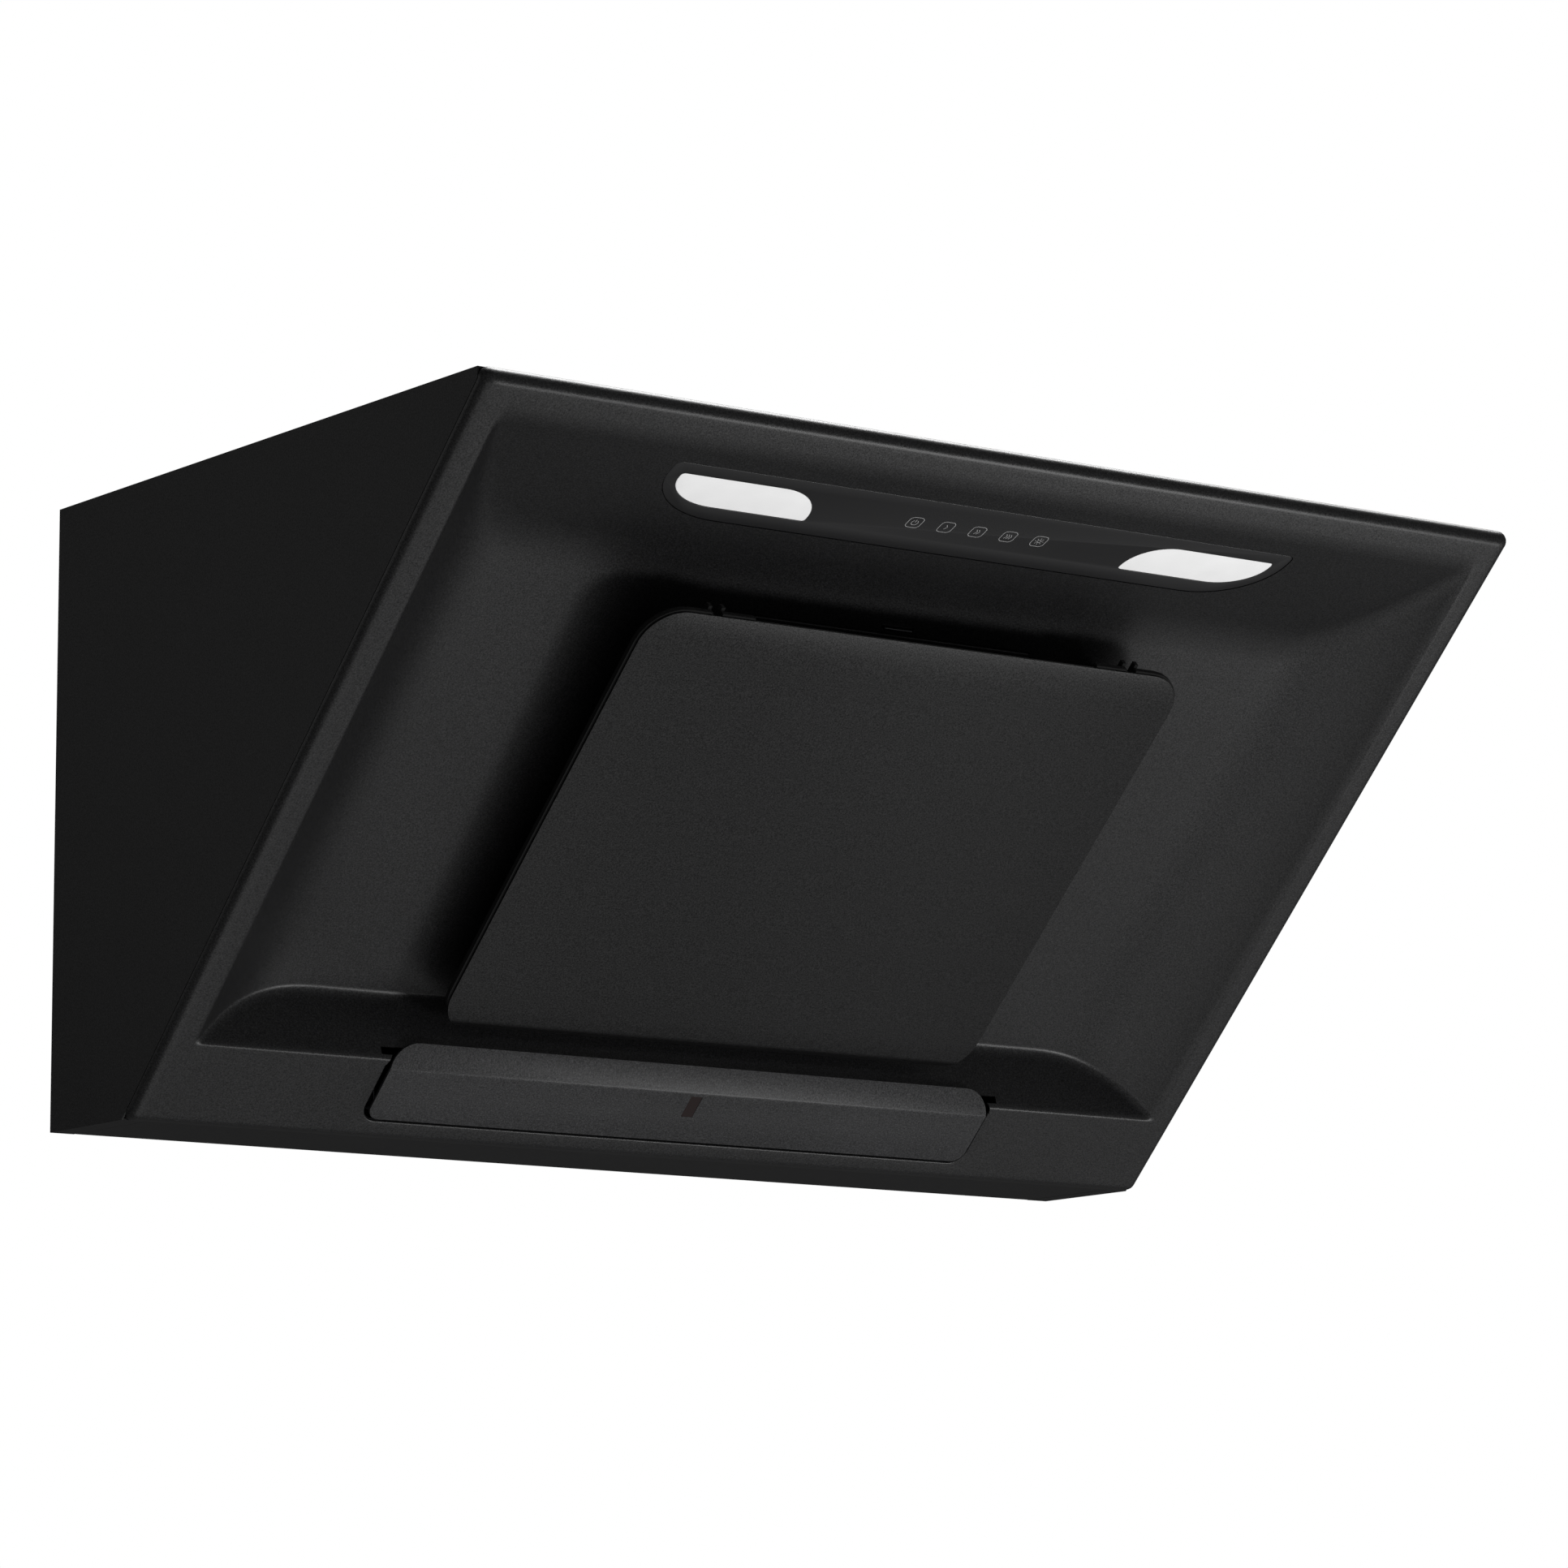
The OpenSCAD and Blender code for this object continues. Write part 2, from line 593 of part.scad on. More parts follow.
module tray_cover() {
  wall = 2;
  top = [cover_t1, cover_crest - cover_strip * sin(cover_bend)];
  color(frame_black) on_slope() difference() {
    intersection() {
      translate([0, 0, -20]) linear_extrude(30) polygon(
        round_box([-cover_hw, cover_t0], [cover_hw, cover_t1], [10, 10, 20, 20]));
      across_slope(2 * cover_hw) polygon([
        [cover_t0, cover_back], [cover_t0, cover_proud], [crease_t, cover_crest], top,
        top - wall * [sin(cover_bend), cos(cover_bend)], [crease_t - 0.6, cover_back]]);
    }
    span_box([-window_hw, window_t0, -3], [window_hw, window_t1, 20]);
  }
}
module level_window() {
  color([0.2, 0.04, 0.03]) on_slope() span_box([-window_hw + 0.1, window_t0 + 0.1, cover_back],
                                               [window_hw - 0.1, window_t1 - 0.1, cover_crest - 0.3]);
}

// ---- controls and lamps ----
module control_glass() {
  color([0.12, 0.12, 0.12]) on_brow() translate([0, 0, -0.3 - glass_t]) linear_extrude(glass_t) difference() {
    strip_outline(0);
    for (side = [-1, 1]) lens_outline(side, 0.2);
  }
}
module control_carrier() {
  color(plastic_black) on_brow() difference() {
    union() {
      translate([0, 0, -3.8]) linear_extrude(2.5) strip_outline(5);
      translate([0, 0, -17]) linear_extrude(14) strip_outline(-5);
    }
    translate([0, 0, -2.35]) linear_extrude(6) strip_outline(0.3);
    translate([0, 0, -15.5]) linear_extrude(20) strip_outline(-7);
  }
}
module touch_board() {
  color([0.1, 0.3, 0.15]) on_brow() span_box([-75, -60, -4.5], [75, -35, -2.9]);
}
module lamp_lens(side) {
  color([0.95, 0.95, 0.95]) on_brow() translate([0, 0, -0.3 - glass_t])
    linear_extrude(glass_t) lens_outline(side, 0);
}
module lamp_lens_left() lamp_lens(-1);
module lamp_lens_right() lamp_lens(1);
module led_board(side) {
  color([0.9, 0.9, 0.88]) on_brow() mirror([side < 0 ? 1 : 0, 0, 0]) {
    span_box([lens_x0 + 14, lens_y0 + 3, -15.4], [lens_x1 - 22, lens_y1 - 3, -13.8]);
    for (i = [0 : 5]) translate([lens_x0 + 24 + 13 * i, (lens_y0 + lens_y1) / 2, -13.8])
      translate([-2.5, -2.5, 0]) cube([5, 5, 1.2]);
  }
}
module led_board_left() led_board(-1);
module led_board_right() led_board(1);

box_lo = [100, -56, -70];
box_hi = [232, -sheet - 0.05, 64];
module power_box() {
  color(plastic_black) difference() {
    span_box(box_lo, box_hi);
    span_box(box_lo + [2, -3, 2], box_hi - [2, 2, 2]);
  }
}
module power_box_lid() {
  color([0.07, 0.07, 0.07])
    span_box([box_lo[0], box_lo[1] - 2.1, box_lo[2]], [box_hi[0], box_lo[1] - 0.1, box_hi[2]]);
}
module power_board() {
  color([0.1, 0.3, 0.15]) {
    span_box([106, -10, -64], [226, -8.4, 58]);
    span_box([112, -30, -20], [146, -10, 14]);
    span_box([160, -24, -40], [176, -10, -14]);
  }
}
module capacitor() {
  color([0.85, 0.85, 0.82]) translate([200, -32, -40]) cylinder(r = 17, h = 70);
}
module cable_gland() {
  color(plastic_black) translate([250, -60, half_h]) difference() {
    union() {
      translate([0, 0, -6]) cylinder(r = 8, h = 12);
      cylinder(r = 12, h = 3);
      translate([0, 0, 3]) cylinder(r = 10, h = 9);
    }
    cylinder(r = 5, h = 60, center = true);
  }
}

front_frame();
left_side_panel();
right_side_panel();
top_panel();
back_panel();
bottom_panel();
wall_plates();
panel_screws();
scroll_housing();
scroll_cover();
inlet_ring();
outlet_box();
rubber_bushes();
motor();
motor_shaft();
motor_screws();
impeller();
impeller_nut();
duct_collar();
collar_screws();
damper_pin();
damper_flap_left();
damper_flap_right();
filter_frame();
filter_mesh();
filter_catch();
hinge_brackets();
catch_posts();
baffle_plate();
baffle_back_frame();
baffle_hinge_ears();
baffle_hinge_pins();
catch_studs();
tray_runners();
oil_tray();
tray_cover();
level_window();
control_glass();
control_carrier();
touch_board();
lamp_lens_left();
lamp_lens_right();
led_board_left();
led_board_right();
power_box();
power_box_lid();
power_board();
capacitor();
cable_gland();
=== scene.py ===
"""Looks of an inclined wall-mounted extractor hood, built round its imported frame.

Every piece is modelled in millimetres in one of two sloping frames, slope and brow, and is
then laid in place in its mesh. Sizes come from the frame where the frame has them.
"""

import json
import math

import bmesh
import bpy
from bpy.props import FloatProperty, FloatVectorProperty, PointerProperty
from mathutils import Matrix, Vector


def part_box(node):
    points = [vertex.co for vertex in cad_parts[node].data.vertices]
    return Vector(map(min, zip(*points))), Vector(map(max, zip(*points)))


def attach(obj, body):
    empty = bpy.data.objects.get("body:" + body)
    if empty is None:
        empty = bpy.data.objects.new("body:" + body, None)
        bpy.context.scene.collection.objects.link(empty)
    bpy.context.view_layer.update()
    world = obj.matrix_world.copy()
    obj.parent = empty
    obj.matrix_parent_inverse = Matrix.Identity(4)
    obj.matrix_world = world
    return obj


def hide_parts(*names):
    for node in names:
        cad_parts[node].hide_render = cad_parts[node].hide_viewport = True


bl_info = {
    "name": "Inclined extractor hood",
    "version": (1, 0, 0),
    "blender": (4, 5, 0),
    "location": "View3D > Sidebar > Hood",
    "description": "Builds the visible pieces, finishes and studio of an inclined extractor hood",
    "category": "Add Mesh",
}

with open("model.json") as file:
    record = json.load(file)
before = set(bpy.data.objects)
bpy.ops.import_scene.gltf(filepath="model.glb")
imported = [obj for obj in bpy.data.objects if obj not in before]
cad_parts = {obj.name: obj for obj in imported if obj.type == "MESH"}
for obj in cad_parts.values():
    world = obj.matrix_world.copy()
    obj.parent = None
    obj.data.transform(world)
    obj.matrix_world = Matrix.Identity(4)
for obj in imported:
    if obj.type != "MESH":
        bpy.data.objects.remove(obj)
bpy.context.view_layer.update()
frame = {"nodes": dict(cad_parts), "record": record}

MM = 0.001
ROOT_HALF = math.sqrt(0.5)
RIM = [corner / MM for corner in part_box("front_frame")]      # the pressed front's box, mm
HALF_W = RIM[1].x
BODY_H = RIM[1].z - RIM[0].z
SHEET = 1.2                                                  # steel thickness, mm
CORNER_STEPS = 14                                            # segments of a round corner


# ---------------------------------------------------------------- settings
def length(name, description, default):
    """A size in millimetres, as a user would type it."""
    return FloatProperty(name=name, description=description, default=default, min=0.0)


def colour(name, description, hex_code):
    """A surface colour, given as sRGB hex."""
    return FloatVectorProperty(name=name, description=description, subtype="COLOR", size=3,
                               min=0.0, max=1.0, default=linear(hex_code))


def linear(hex_code):
    """sRGB hex to the linear red, green and blue that shaders take."""
    channels = [int(hex_code[i:i + 2], 16) / 255 for i in (0, 2, 4)]
    return tuple(c / 12.92 if c <= 0.04045 else ((c + 0.055) / 1.055) ** 2.4 for c in channels)


class HoodShape(bpy.types.PropertyGroup):
    """Sizes of the sloping front, in millimetres."""
    rim_radius: length("Rim radius", "Radius of the rolled rim", 7.5)
    recess_half: length("Recess half width", "From the middle to the recess's side", 425.0)
    recess_low: length("Recess lower edge", "Up the slope from the lower front edge", 68.0)
    recess_high: length("Recess upper edge", "Up the slope from the lower front edge", 592.0)
    floor_depth: length("Recess depth", "From the front plane to the recess floor", 44.0)
    scoop_width: length("Scoop width", "Width of the recess's curved sides", 110.0)
    wall_tilt: FloatProperty(name="Lower wall tilt", description="Lean of the recess's lower wall",
                             default=math.radians(28), subtype="ANGLE", unit="ROTATION")
    brow_tilt: FloatProperty(name="Brow tilt", description="Slope of the brow against the front",
                             default=math.radians(21), subtype="ANGLE", unit="ROTATION")
    crease_blend: length("Crease blend", "How far two faces of the recess blend at a crease", 7.0)
    lip_blend: length("Lip blend", "How far the recess's lip is rounded", 3.0)


class HoodFinish(bpy.types.PropertyGroup):
    """Colours of the main finishes."""
    front_black: colour("Front", "Powder coat of the pressed front and panel", "212122")
    casing_black: colour("Casing", "Powder coat of the folded casing", "1A1A1B")
    strip_black: colour("Touch strip", "Tinted touch strip", "333334")
    lens_white: colour("Lens", "Opal lamp lens", "F2F2F2")
    lens_glow: FloatProperty(name="Lens glow", description="Brightness of the lit lenses",
                             default=0.49, min=0.0, max=10.0)
    grain: FloatProperty(name="Paint grain", description="Size of the powder coat's grain, mm",
                         default=1.1, min=0.1)


# ---------------------------------------------------------------- places
def apex_y(shape):
    """Where the front plane would meet the top plane, on Y, in millimetres."""
    return RIM[0].y - shape.rim_radius * math.sqrt(2)


def slope_frame(shape):
    """Slope coordinates to the row frame: X across, Y up the 45 degree slope, Z out of it."""
    edge = Vector((0, apex_y(shape) + BODY_H, RIM[0].z))
    return Matrix.Translation(edge) @ Matrix.Rotation(math.radians(135), 4, "X")


def brow_frame(shape):
    """Brow coordinates to the row frame: Y up the brow to the recess's upper edge, Z out of it."""
    return (slope_frame(shape) @ Matrix.Translation((0, shape.recess_high, 0))
            @ Matrix.Rotation(shape.brow_tilt, 4, "X"))


# ---------------------------------------------------------------- mesh helpers
def outline(lo, hi, corners, steps=CORNER_STEPS):
    """Points round a rectangle with quarter-ellipse corners, from the low left one on to the right."""
    points = []
    for k, (across, up) in enumerate(corners):
        cx = lo[0] + across if k in (0, 3) else hi[0] - across
        cy = lo[1] + up if k in (0, 1) else hi[1] - up
        for i in range(steps + 1):
            a = math.radians(180 + 90 * k + 90 * i / steps)
            points.append((cx + across * math.cos(a), cy + up * math.sin(a)))
    return points


def loop(bm, points, z=0.0):
    """A closed ring of edges through the points."""
    verts = [bm.verts.new((x, y, z)) for x, y in points]
    return [bm.edges.new((verts[i - 1], verts[i])) for i in range(len(verts))]


def verts_of(made):
    """The vertices among what an operator made."""
    return [v for v in made["geom"] if isinstance(v, bmesh.types.BMVert)]


def thicken(bm, depth):
    """Extrudes every face down by depth and leaves a closed slab."""
    made = bmesh.ops.extrude_face_region(bm, geom=list(bm.faces))
    bmesh.ops.translate(bm, vec=(0, 0, -depth), verts=verts_of(made))
    bmesh.ops.recalc_face_normals(bm, faces=list(bm.faces))


def slice_at(bm, place, normal, clear_outer=False):
    """Cuts every face along a plane, and may clear what lies past it."""
    bmesh.ops.bisect_plane(bm, geom=bm.verts[:] + bm.edges[:] + bm.faces[:], dist=0.0001, plane_co=place,
                           plane_no=normal, clear_outer=clear_outer)


def face_out(bm):
    """Turns an open sheet's faces to the side that they mostly look to, out of the slope."""
    bmesh.ops.recalc_face_normals(bm, faces=list(bm.faces))
    if sum(f.normal.z for f in bm.faces) < 0:
        bmesh.ops.reverse_faces(bm, faces=list(bm.faces))


def soften(bm, radius, segments=2, angle=35.0):
    """Rounds every edge sharper than angle."""
    sharp = [e for e in bm.edges if len(e.link_faces) == 2 and e.calc_face_angle(0) > math.radians(angle)]
    if sharp and radius > 0:
        bmesh.ops.bevel(bm, geom=sharp, offset=radius, offset_type="OFFSET", segments=segments, profile=0.5,
                        affect="EDGES", clamp_overlap=True, material=-1)


def lathe(bm, profile, steps=64):
    """Spins (radius, z) points round Z into a closed shell."""
    verts = [bm.verts.new((r, 0, z)) for r, z in profile]
    edges = [bm.edges.new(pair) for pair in zip(verts, verts[1:])]
    bmesh.ops.spin(bm, geom=verts + edges, cent=(0, 0, 0), axis=(0, 0, 1), angle=2 * math.pi,
                   steps=steps, use_merge=True)
    bmesh.ops.remove_doubles(bm, verts=list(bm.verts), dist=0.001)
    bmesh.ops.recalc_face_normals(bm, faces=list(bm.faces))


def wall(thickness):
    """A modifier that gives a sheet its wall, behind its face."""
    return "SOLIDIFY", dict(thickness=thickness * MM, offset=-1.0)


def rounded(radius):
    """A modifier that rounds a piece's sharp edges."""
    return "BEVEL", dict(width=radius * MM, segments=3, limit_method="ANGLE", angle_limit=math.radians(50))


def apply_modifiers(piece, modifiers):
    """Applies modifiers to a piece's mesh, in order."""
    for kind, settings in modifiers:
        modifier = piece.modifiers.new(kind.title(), kind)
        for key, value in settings.items():
            setattr(modifier, key, value)
    graph = bpy.context.evaluated_depsgraph_get()
    piece.data = bpy.data.meshes.new_from_object(piece.evaluated_get(graph))
    piece.data.name = piece.name
    piece.modifiers.clear()


def add_piece(name, bm, place, body, finish, replaces=(), modifiers=(), angle=30.0, level_faces=False):
    """Lays a bmesh in place as one finished object that rides on a body."""
    bmesh.ops.transform(bm, matrix=Matrix.Scale(MM, 4) @ place, verts=list(bm.verts))
    mesh = bpy.data.meshes.new(name)
    bm.to_mesh(mesh)
    bm.free()
    piece = bpy.data.objects.new(name, mesh)
    bpy.context.scene.collection.objects.link(piece)
    if modifiers:
        apply_modifiers(piece, modifiers)
    piece.data.materials.clear()
    piece.data.materials.append(finish)
    piece.data.shade_smooth()
    piece.data.set_sharp_from_angle(angle=math.radians(angle))
    if level_faces:                            # keeps flat faces evenly shaded up to their rounded edges
        apply_modifiers(piece, [("WEIGHTED_NORMAL", dict(keep_sharp=True))])
    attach(piece, body)
    if replaces:
        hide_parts(*replaces)
    return piece


def body_of(node):
    """The body that a CAD node belongs to."""
    return next(b for b, nodes in frame["record"]["behaviour"]["bodies"].items() if node in nodes)


def refine(node, finish, radius=0.4, segments=2):
    """Stands a copy of a CAD node, merged and with rounded edges, in for it."""
    bm = bmesh.new()
    bm.from_mesh(frame["nodes"][node].data)
    bmesh.ops.scale(bm, vec=(1 / MM,) * 3, verts=list(bm.verts))
    bmesh.ops.remove_doubles(bm, verts=list(bm.verts), dist=0.002)
    bmesh.ops.dissolve_limit(bm, angle_limit=math.radians(0.5), verts=list(bm.verts), edges=list(bm.edges))
    soften(bm, radius, segments)
    return add_piece(node + "_skin", bm, Matrix.Identity(4), body_of(node), finish, [node],
                     level_faces=True)


# ---------------------------------------------------------------- finishes
def add_node(tree, kind, inputs=None, stops=(), **settings):
    """Adds a shader node, sets it up, links or fills its inputs and lays out its colour stops."""
    node = tree.nodes.new(kind)
    for key, value in settings.items():
        setattr(node, key, value)
    for key, value in (inputs or {}).items():
        if isinstance(value, bpy.types.NodeSocket):
            tree.links.new(value, node.inputs[key])
        else:
            node.inputs[key].default_value = value
    if stops:
        elements = node.color_ramp.elements
        while len(elements) < len(stops):
            elements.new(0.5)
        for element, (position, rgb) in zip(elements, stops):
            element.position = position
            element.color = (*rgb, 1.0)
    return node


def shaded(rgb, factor):
    """A colour made lighter or darker."""
    return tuple(min(1.0, c * factor) for c in rgb)


def shades(rgb, factors):
    """Colour stops over (position, factor) pairs of one colour."""
    return [(position, shaded(rgb, factor)) for position, factor in factors]


def start(name, **sockets):
    """An empty material's tree, shader and object coordinates; sockets holds the shader's even values."""
    material = bpy.data.materials.new(name)
    material.use_nodes = True
    tree = material.node_tree
    tree.nodes.clear()
    shader = add_node(tree, "ShaderNodeBsdfPrincipled", {key.replace("_", " "): v for key, v in sockets.items()})
    add_node(tree, "ShaderNodeOutputMaterial", {"Surface": shader.outputs[0]})
    where = add_node(tree, "ShaderNodeTexCoord").outputs["Object"]
    return material, tree, shader, where


def pattern(tree, where, size_mm, detail=2.0, rough=0.5, kind="ShaderNodeTexNoise", output="Fac", **settings):
    """A pattern whose features are about that size in millimetres."""
    inputs = {"Vector": where, "Scale": 1 / (size_mm * MM), "Detail": detail, "Roughness": rough}
    return add_node(tree, kind, inputs, **settings).outputs[output]


def lay(tree, shader, spots, tones=None, gloss=None, relief=None):
    """Lets spots shift the tone and the gloss and lift the surface; returns the tone's socket.

    tones holds (spot, colour) pairs, gloss two (spot, roughness) pairs, and relief the
    depth in mm and its strength.
    """
    found = {}
    if tones:
        found["Base Color"] = add_node(tree, "ShaderNodeValToRGB", {"Fac": spots}, tones)
    if gloss:
        (low, least), (high, most) = gloss
        found["Roughness"] = add_node(tree, "ShaderNodeMapRange", {"Value": spots, "From Min": low, "From Max": high,
                                                                   "To Min": least, "To Max": most})
    if relief:
        found["Normal"] = add_node(tree, "ShaderNodeBump", {"Height": spots, "Distance": relief[0] * MM,
                                                            "Strength": relief[1]})
    for socket, node in found.items():
        tree.links.new(node.outputs[0], shader.inputs[socket])
    return found["Base Color"].outputs["Color"] if tones else None


def powder_coat(name, rgb, grain_mm, roughness, relief_mm, gloss_level=0.5):
    """Fine-textured polyester powder coat on steel: a satin black that sparkles slightly and
    shows soft, slightly broken highlights. The real grain is about 0.3 mm; it is drawn coarser
    so that it shows at arm's length."""
    material, tree, shader, where = start(name, IOR=1.5)
    grain = pattern(tree, where, grain_mm, 3.0, 0.65)
    tone = lay(tree, shader, grain, shades(rgb, [(0.32, 0.5), (0.52, 1.0), (0.70, 1.9)]),
               [(0.3, roughness - 0.05), (0.7, roughness + 0.06)], (relief_mm, 1.0))
    drift = add_node(tree, "ShaderNodeValToRGB", {"Fac": pattern(tree, where, 90.0)},
                     [(0.3, (0.90,) * 3), (0.7, (1.08,) * 3)])
    mix = add_node(tree, "ShaderNodeMix", data_type="RGBA", blend_type="MULTIPLY")
    mix.inputs["Factor"].default_value = 1.0
    tree.links.new(tone, mix.inputs["A"])
    tree.links.new(drift.outputs["Color"], mix.inputs["B"])
    tree.links.new(mix.outputs["Result"], shader.inputs["Base Color"])
    sheen = add_node(tree, "ShaderNodeMapRange", {"Value": grain, "From Min": 0.32, "From Max": 0.68,
                                                  "To Min": gloss_level - 0.2, "To Max": gloss_level + 0.2})
    tree.links.new(sheen.outputs[0], shader.inputs["Specular IOR Level"])
    return material


def zinc_plate(name):
    """Zinc-plated steel sheet: cool grey metal with a faint crystal mottle and rolling lines."""
    material, tree, shader, where = start(name, Metallic=1.0)
    crystals = pattern(tree, where, 7, 0.0, kind="ShaderNodeTexVoronoi", output="Color")
    lay(tree, shader, crystals, shades(linear("B4B8BC"), [(0.2, 0.82), (0.8, 1.08)]))
    lines = add_node(tree, "ShaderNodeMapping", {"Vector": where, "Scale": (1, 1, 30)})
    fine = pattern(tree, lines.outputs[0], 12.0, 3.0)
    lay(tree, shader, fine, gloss=[(0, 0.28), (1, 0.46)], relief=(0.02, 0.4))
    return material


def plain_metal(name, hex_code, roughness, grain_mm, relief_mm):
    """Turned, die-cast or mill-finish metal: one colour with a fine surface grain."""
    material, tree, shader, where = start(name, Metallic=1.0)
    lay(tree, shader, pattern(tree, where, grain_mm, 4.0, 0.6), shades(linear(hex_code), [(0.3, 0.85), (0.7, 1.1)]),
        [(0, roughness - 0.08), (1, roughness + 0.08)], (relief_mm, 0.5))
    return material


def moulded(name, hex_code, roughness, texture_mm=0.8, relief_mm=0.03):
    """Injection-moulded ABS or rubber: one colour under the fine spark-eroded texture of its mould."""
    material, tree, shader, where = start(name, IOR=1.5)
    lay(tree, shader, pattern(tree, where, texture_mm, 3.0, 0.7),
        shades(linear(hex_code), [(0.35, 0.85), (0.65, 1.15)]),
        [(0, roughness - 0.06), (1, roughness + 0.06)], (relief_mm, 0.6))
    return material


def touch_strip(name, rgb):
    """Dark tinted polycarbonate with a fine anti-glare grain: smoother than the paint round it."""
    material, tree, shader, where = start(name, IOR=1.52)
    lay(tree, shader, pattern(tree, where, 0.6), shades(rgb, [(0.3, 0.93), (0.7, 1.07)]),
        [(0, 0.30), (1, 0.38)], (0.01, 0.3))
    return material


def opal_lens(name, rgb, glow):
    """Opal acrylic over LEDs: an even white glow with a faint cloudiness."""
    material, tree, shader, where = start(name, IOR=1.49, Roughness=0.35, Emission_Strength=glow)
    light = lay(tree, shader, pattern(tree, where, 18.0, 1.0), shades(rgb, [(0.3, 0.96), (0.7, 1.0)]))
    tree.links.new(light, shader.inputs["Emission Color"])
    return material


def circuit_board(name, hex_code):
    """Solder-masked fibreglass board: glossy, with the faint relief of its tracks."""
    material, tree, shader, where = start(name, Roughness=0.3)
    tracks = pattern(tree, where, 5, 0.0, kind="ShaderNodeTexVoronoi", output="Distance",
                     distance="CHEBYCHEV", feature="DISTANCE_TO_EDGE")
    lay(tree, shader, tracks, shades(linear(hex_code), [(0.04, 1.6), (0.09, 1.0)]),
        relief=(0.03, 0.3))
    return material


def finishes(settings):
    """Every finish by its short name, made once."""
    store = bpy.data.materials
    recipes = {
        "front_coat": lambda n: powder_coat(n, tuple(settings.front_black), settings.grain, 0.37, 0.08),
        # the panel wears the front's own paint at half its colour: painted shade, so the panel reads darker than the
        # front round it
        "panel_coat_painted_shade": lambda n: powder_coat(n, shaded(settings.front_black, 0.5), settings.grain, 0.36, 0.06,
                                                0.4),
        # the tray front wears the front's own paint at 2.5 times its colour: painted light, so the tray face reads
        # lighter than the front round it
        "tray_coat_painted_light": lambda n: powder_coat(n, shaded(settings.front_black, 2.5), settings.grain, 0.42, 0.08),
        "casing_coat": lambda n: powder_coat(n, tuple(settings.casing_black), settings.grain, 0.48, 0.08),
        "zinc_sheet": zinc_plate,
        "turned_steel": lambda n: plain_metal(n, "A9ABAE", 0.30, 0.5, 0.01),
        "black_steel": lambda n: plain_metal(n, "0E0E0F", 0.60, 0.5, 0.01),
        "mill_aluminium": lambda n: plain_metal(n, "C3C6CA", 0.38, 1.5, 0.02),
        "cast_aluminium": lambda n: plain_metal(n, "8F9296", 0.55, 0.9, 0.06),
        "black_abs": lambda n: moulded(n, "121212", 0.50),
        # a darker, rougher copy of the black ABS: painted shade, so the back frame and hinge parts seen round the
        # panel read as a dark gap
        "black_lug_painted_shade": lambda n: moulded(n, "070707", 0.80),
        "grey_abs": lambda n: moulded(n, "8C8C8A", 0.50),
        "bush_rubber": lambda n: moulded(n, "1A1A1A", 0.75, 1.2, 0.04),
        "smoked_window": lambda n: moulded(n, "1E0806", 0.75, 1.0, 0.005),
        "touch_strip": lambda n: touch_strip(n, tuple(settings.strip_black)),
        "opal_acrylic": lambda n: opal_lens(n, tuple(settings.lens_white), settings.lens_glow),
        "mark_ink": lambda n: moulded(n, "CFCFCF", 0.55, 0.5, 0.004),
        "green_board": lambda n: circuit_board(n, "0F4A25"),
        "white_board": lambda n: circuit_board(n, "D8D8D2"),
    }
    return {name: store.get(name) or make(name) for name, make in recipes.items()}


# ---------------------------------------------------------------- the pressed front
SCOOP_FULLNESS = 2.6                           # power of the scoops' curve; 2 would be a parabola


def blend_low(a, b, width):
    """The smaller of two values, rounded where they meet."""
    h = max(width - abs(a - b), 0.0) / width
    return min(a, b) - h * h * width / 4


def recess_depth(shape, x, t):
    """How far the pressing lies behind the front plane."""
    u = (shape.recess_half - abs(x)) / shape.scoop_width
    floor = shape.floor_depth
    scoop = floor * (SCOOP_FULLNESS * u if u < 0 else 1 - (1 - min(u, 1.0)) ** SCOOP_FULLNESS)
    brow = (shape.recess_high - t) * math.tan(shape.brow_tilt)
    wall = (t - shape.recess_low) / math.tan(shape.wall_tilt)
    depth = blend_low(blend_low(scoop, brow, shape.crease_blend), wall, shape.crease_blend)
    return -blend_low(-depth, 0.0, shape.lip_blend)


def stations(stops):
    """Evenly stepped positions over (start, step) stops; the last stop only ends the run."""
    found = []
    for (a, step), (b, _) in zip(stops, stops[1:]):
        count = max(1, round((b - a) / step))
        found += [a + (b - a) * i / count for i in range(count)]
    return found + [stops[-1][0]]


# openings of the pressing, in slope coordinates
FILTER_GAP = (122.0, 150.0, 441.0)             # half width, lower and upper edge
CATCH_SLOT = (14.0, 444.0, 447.0)
COVER = dict(lo=(-265.0, 16.0), hi=(265.0, 81.0), corners=[(10, 10), (10, 10), (22, 22), (22, 22)])
COVER_GAP = 3.0                                # between the tray's front and the edge of its mouth
MOUTH_LIP = 1.4                                # radius of the mouth's turned-in edge
MOUTH_SKIRT = 2.0                              # straight part of that edge, behind its bend
MOUTH_ROUND = 10.0                             # radius of the mouth's upper corners
TRAY_MOUTH = (COVER["hi"][0] + COVER_GAP + MOUTH_LIP, 62.0, 72.5)
TRAY_BLOCK = (282.0, 7.0, 62.0)                # flat patch of the border round the mouth
STRIP_BLOCK = (284.0, 513.0, 579.0)            # flat patch of the brow round the touch strip
STRIP = dict(lo=(-270.0, -78.0), hi=(270.0, -21.5), corners=[(65, 46), (65, 46), (5, 5), (5, 5)])


def grown(shape_box, by):
    """The same outline, larger by a clearance."""
    lo = (shape_box["lo"][0] - by, shape_box["lo"][1] - by)
    hi = (shape_box["hi"][0] + by, shape_box["hi"][1] + by)
    return lo, hi, [(a + by, b + by) for a, b in shape_box["corners"]]


def inside(face, gap):
    """True if a face's middle lies in an opening."""
    middle = face.calc_center_median()
    return abs(middle.x) < gap[0] and gap[1] < middle.y < gap[2]


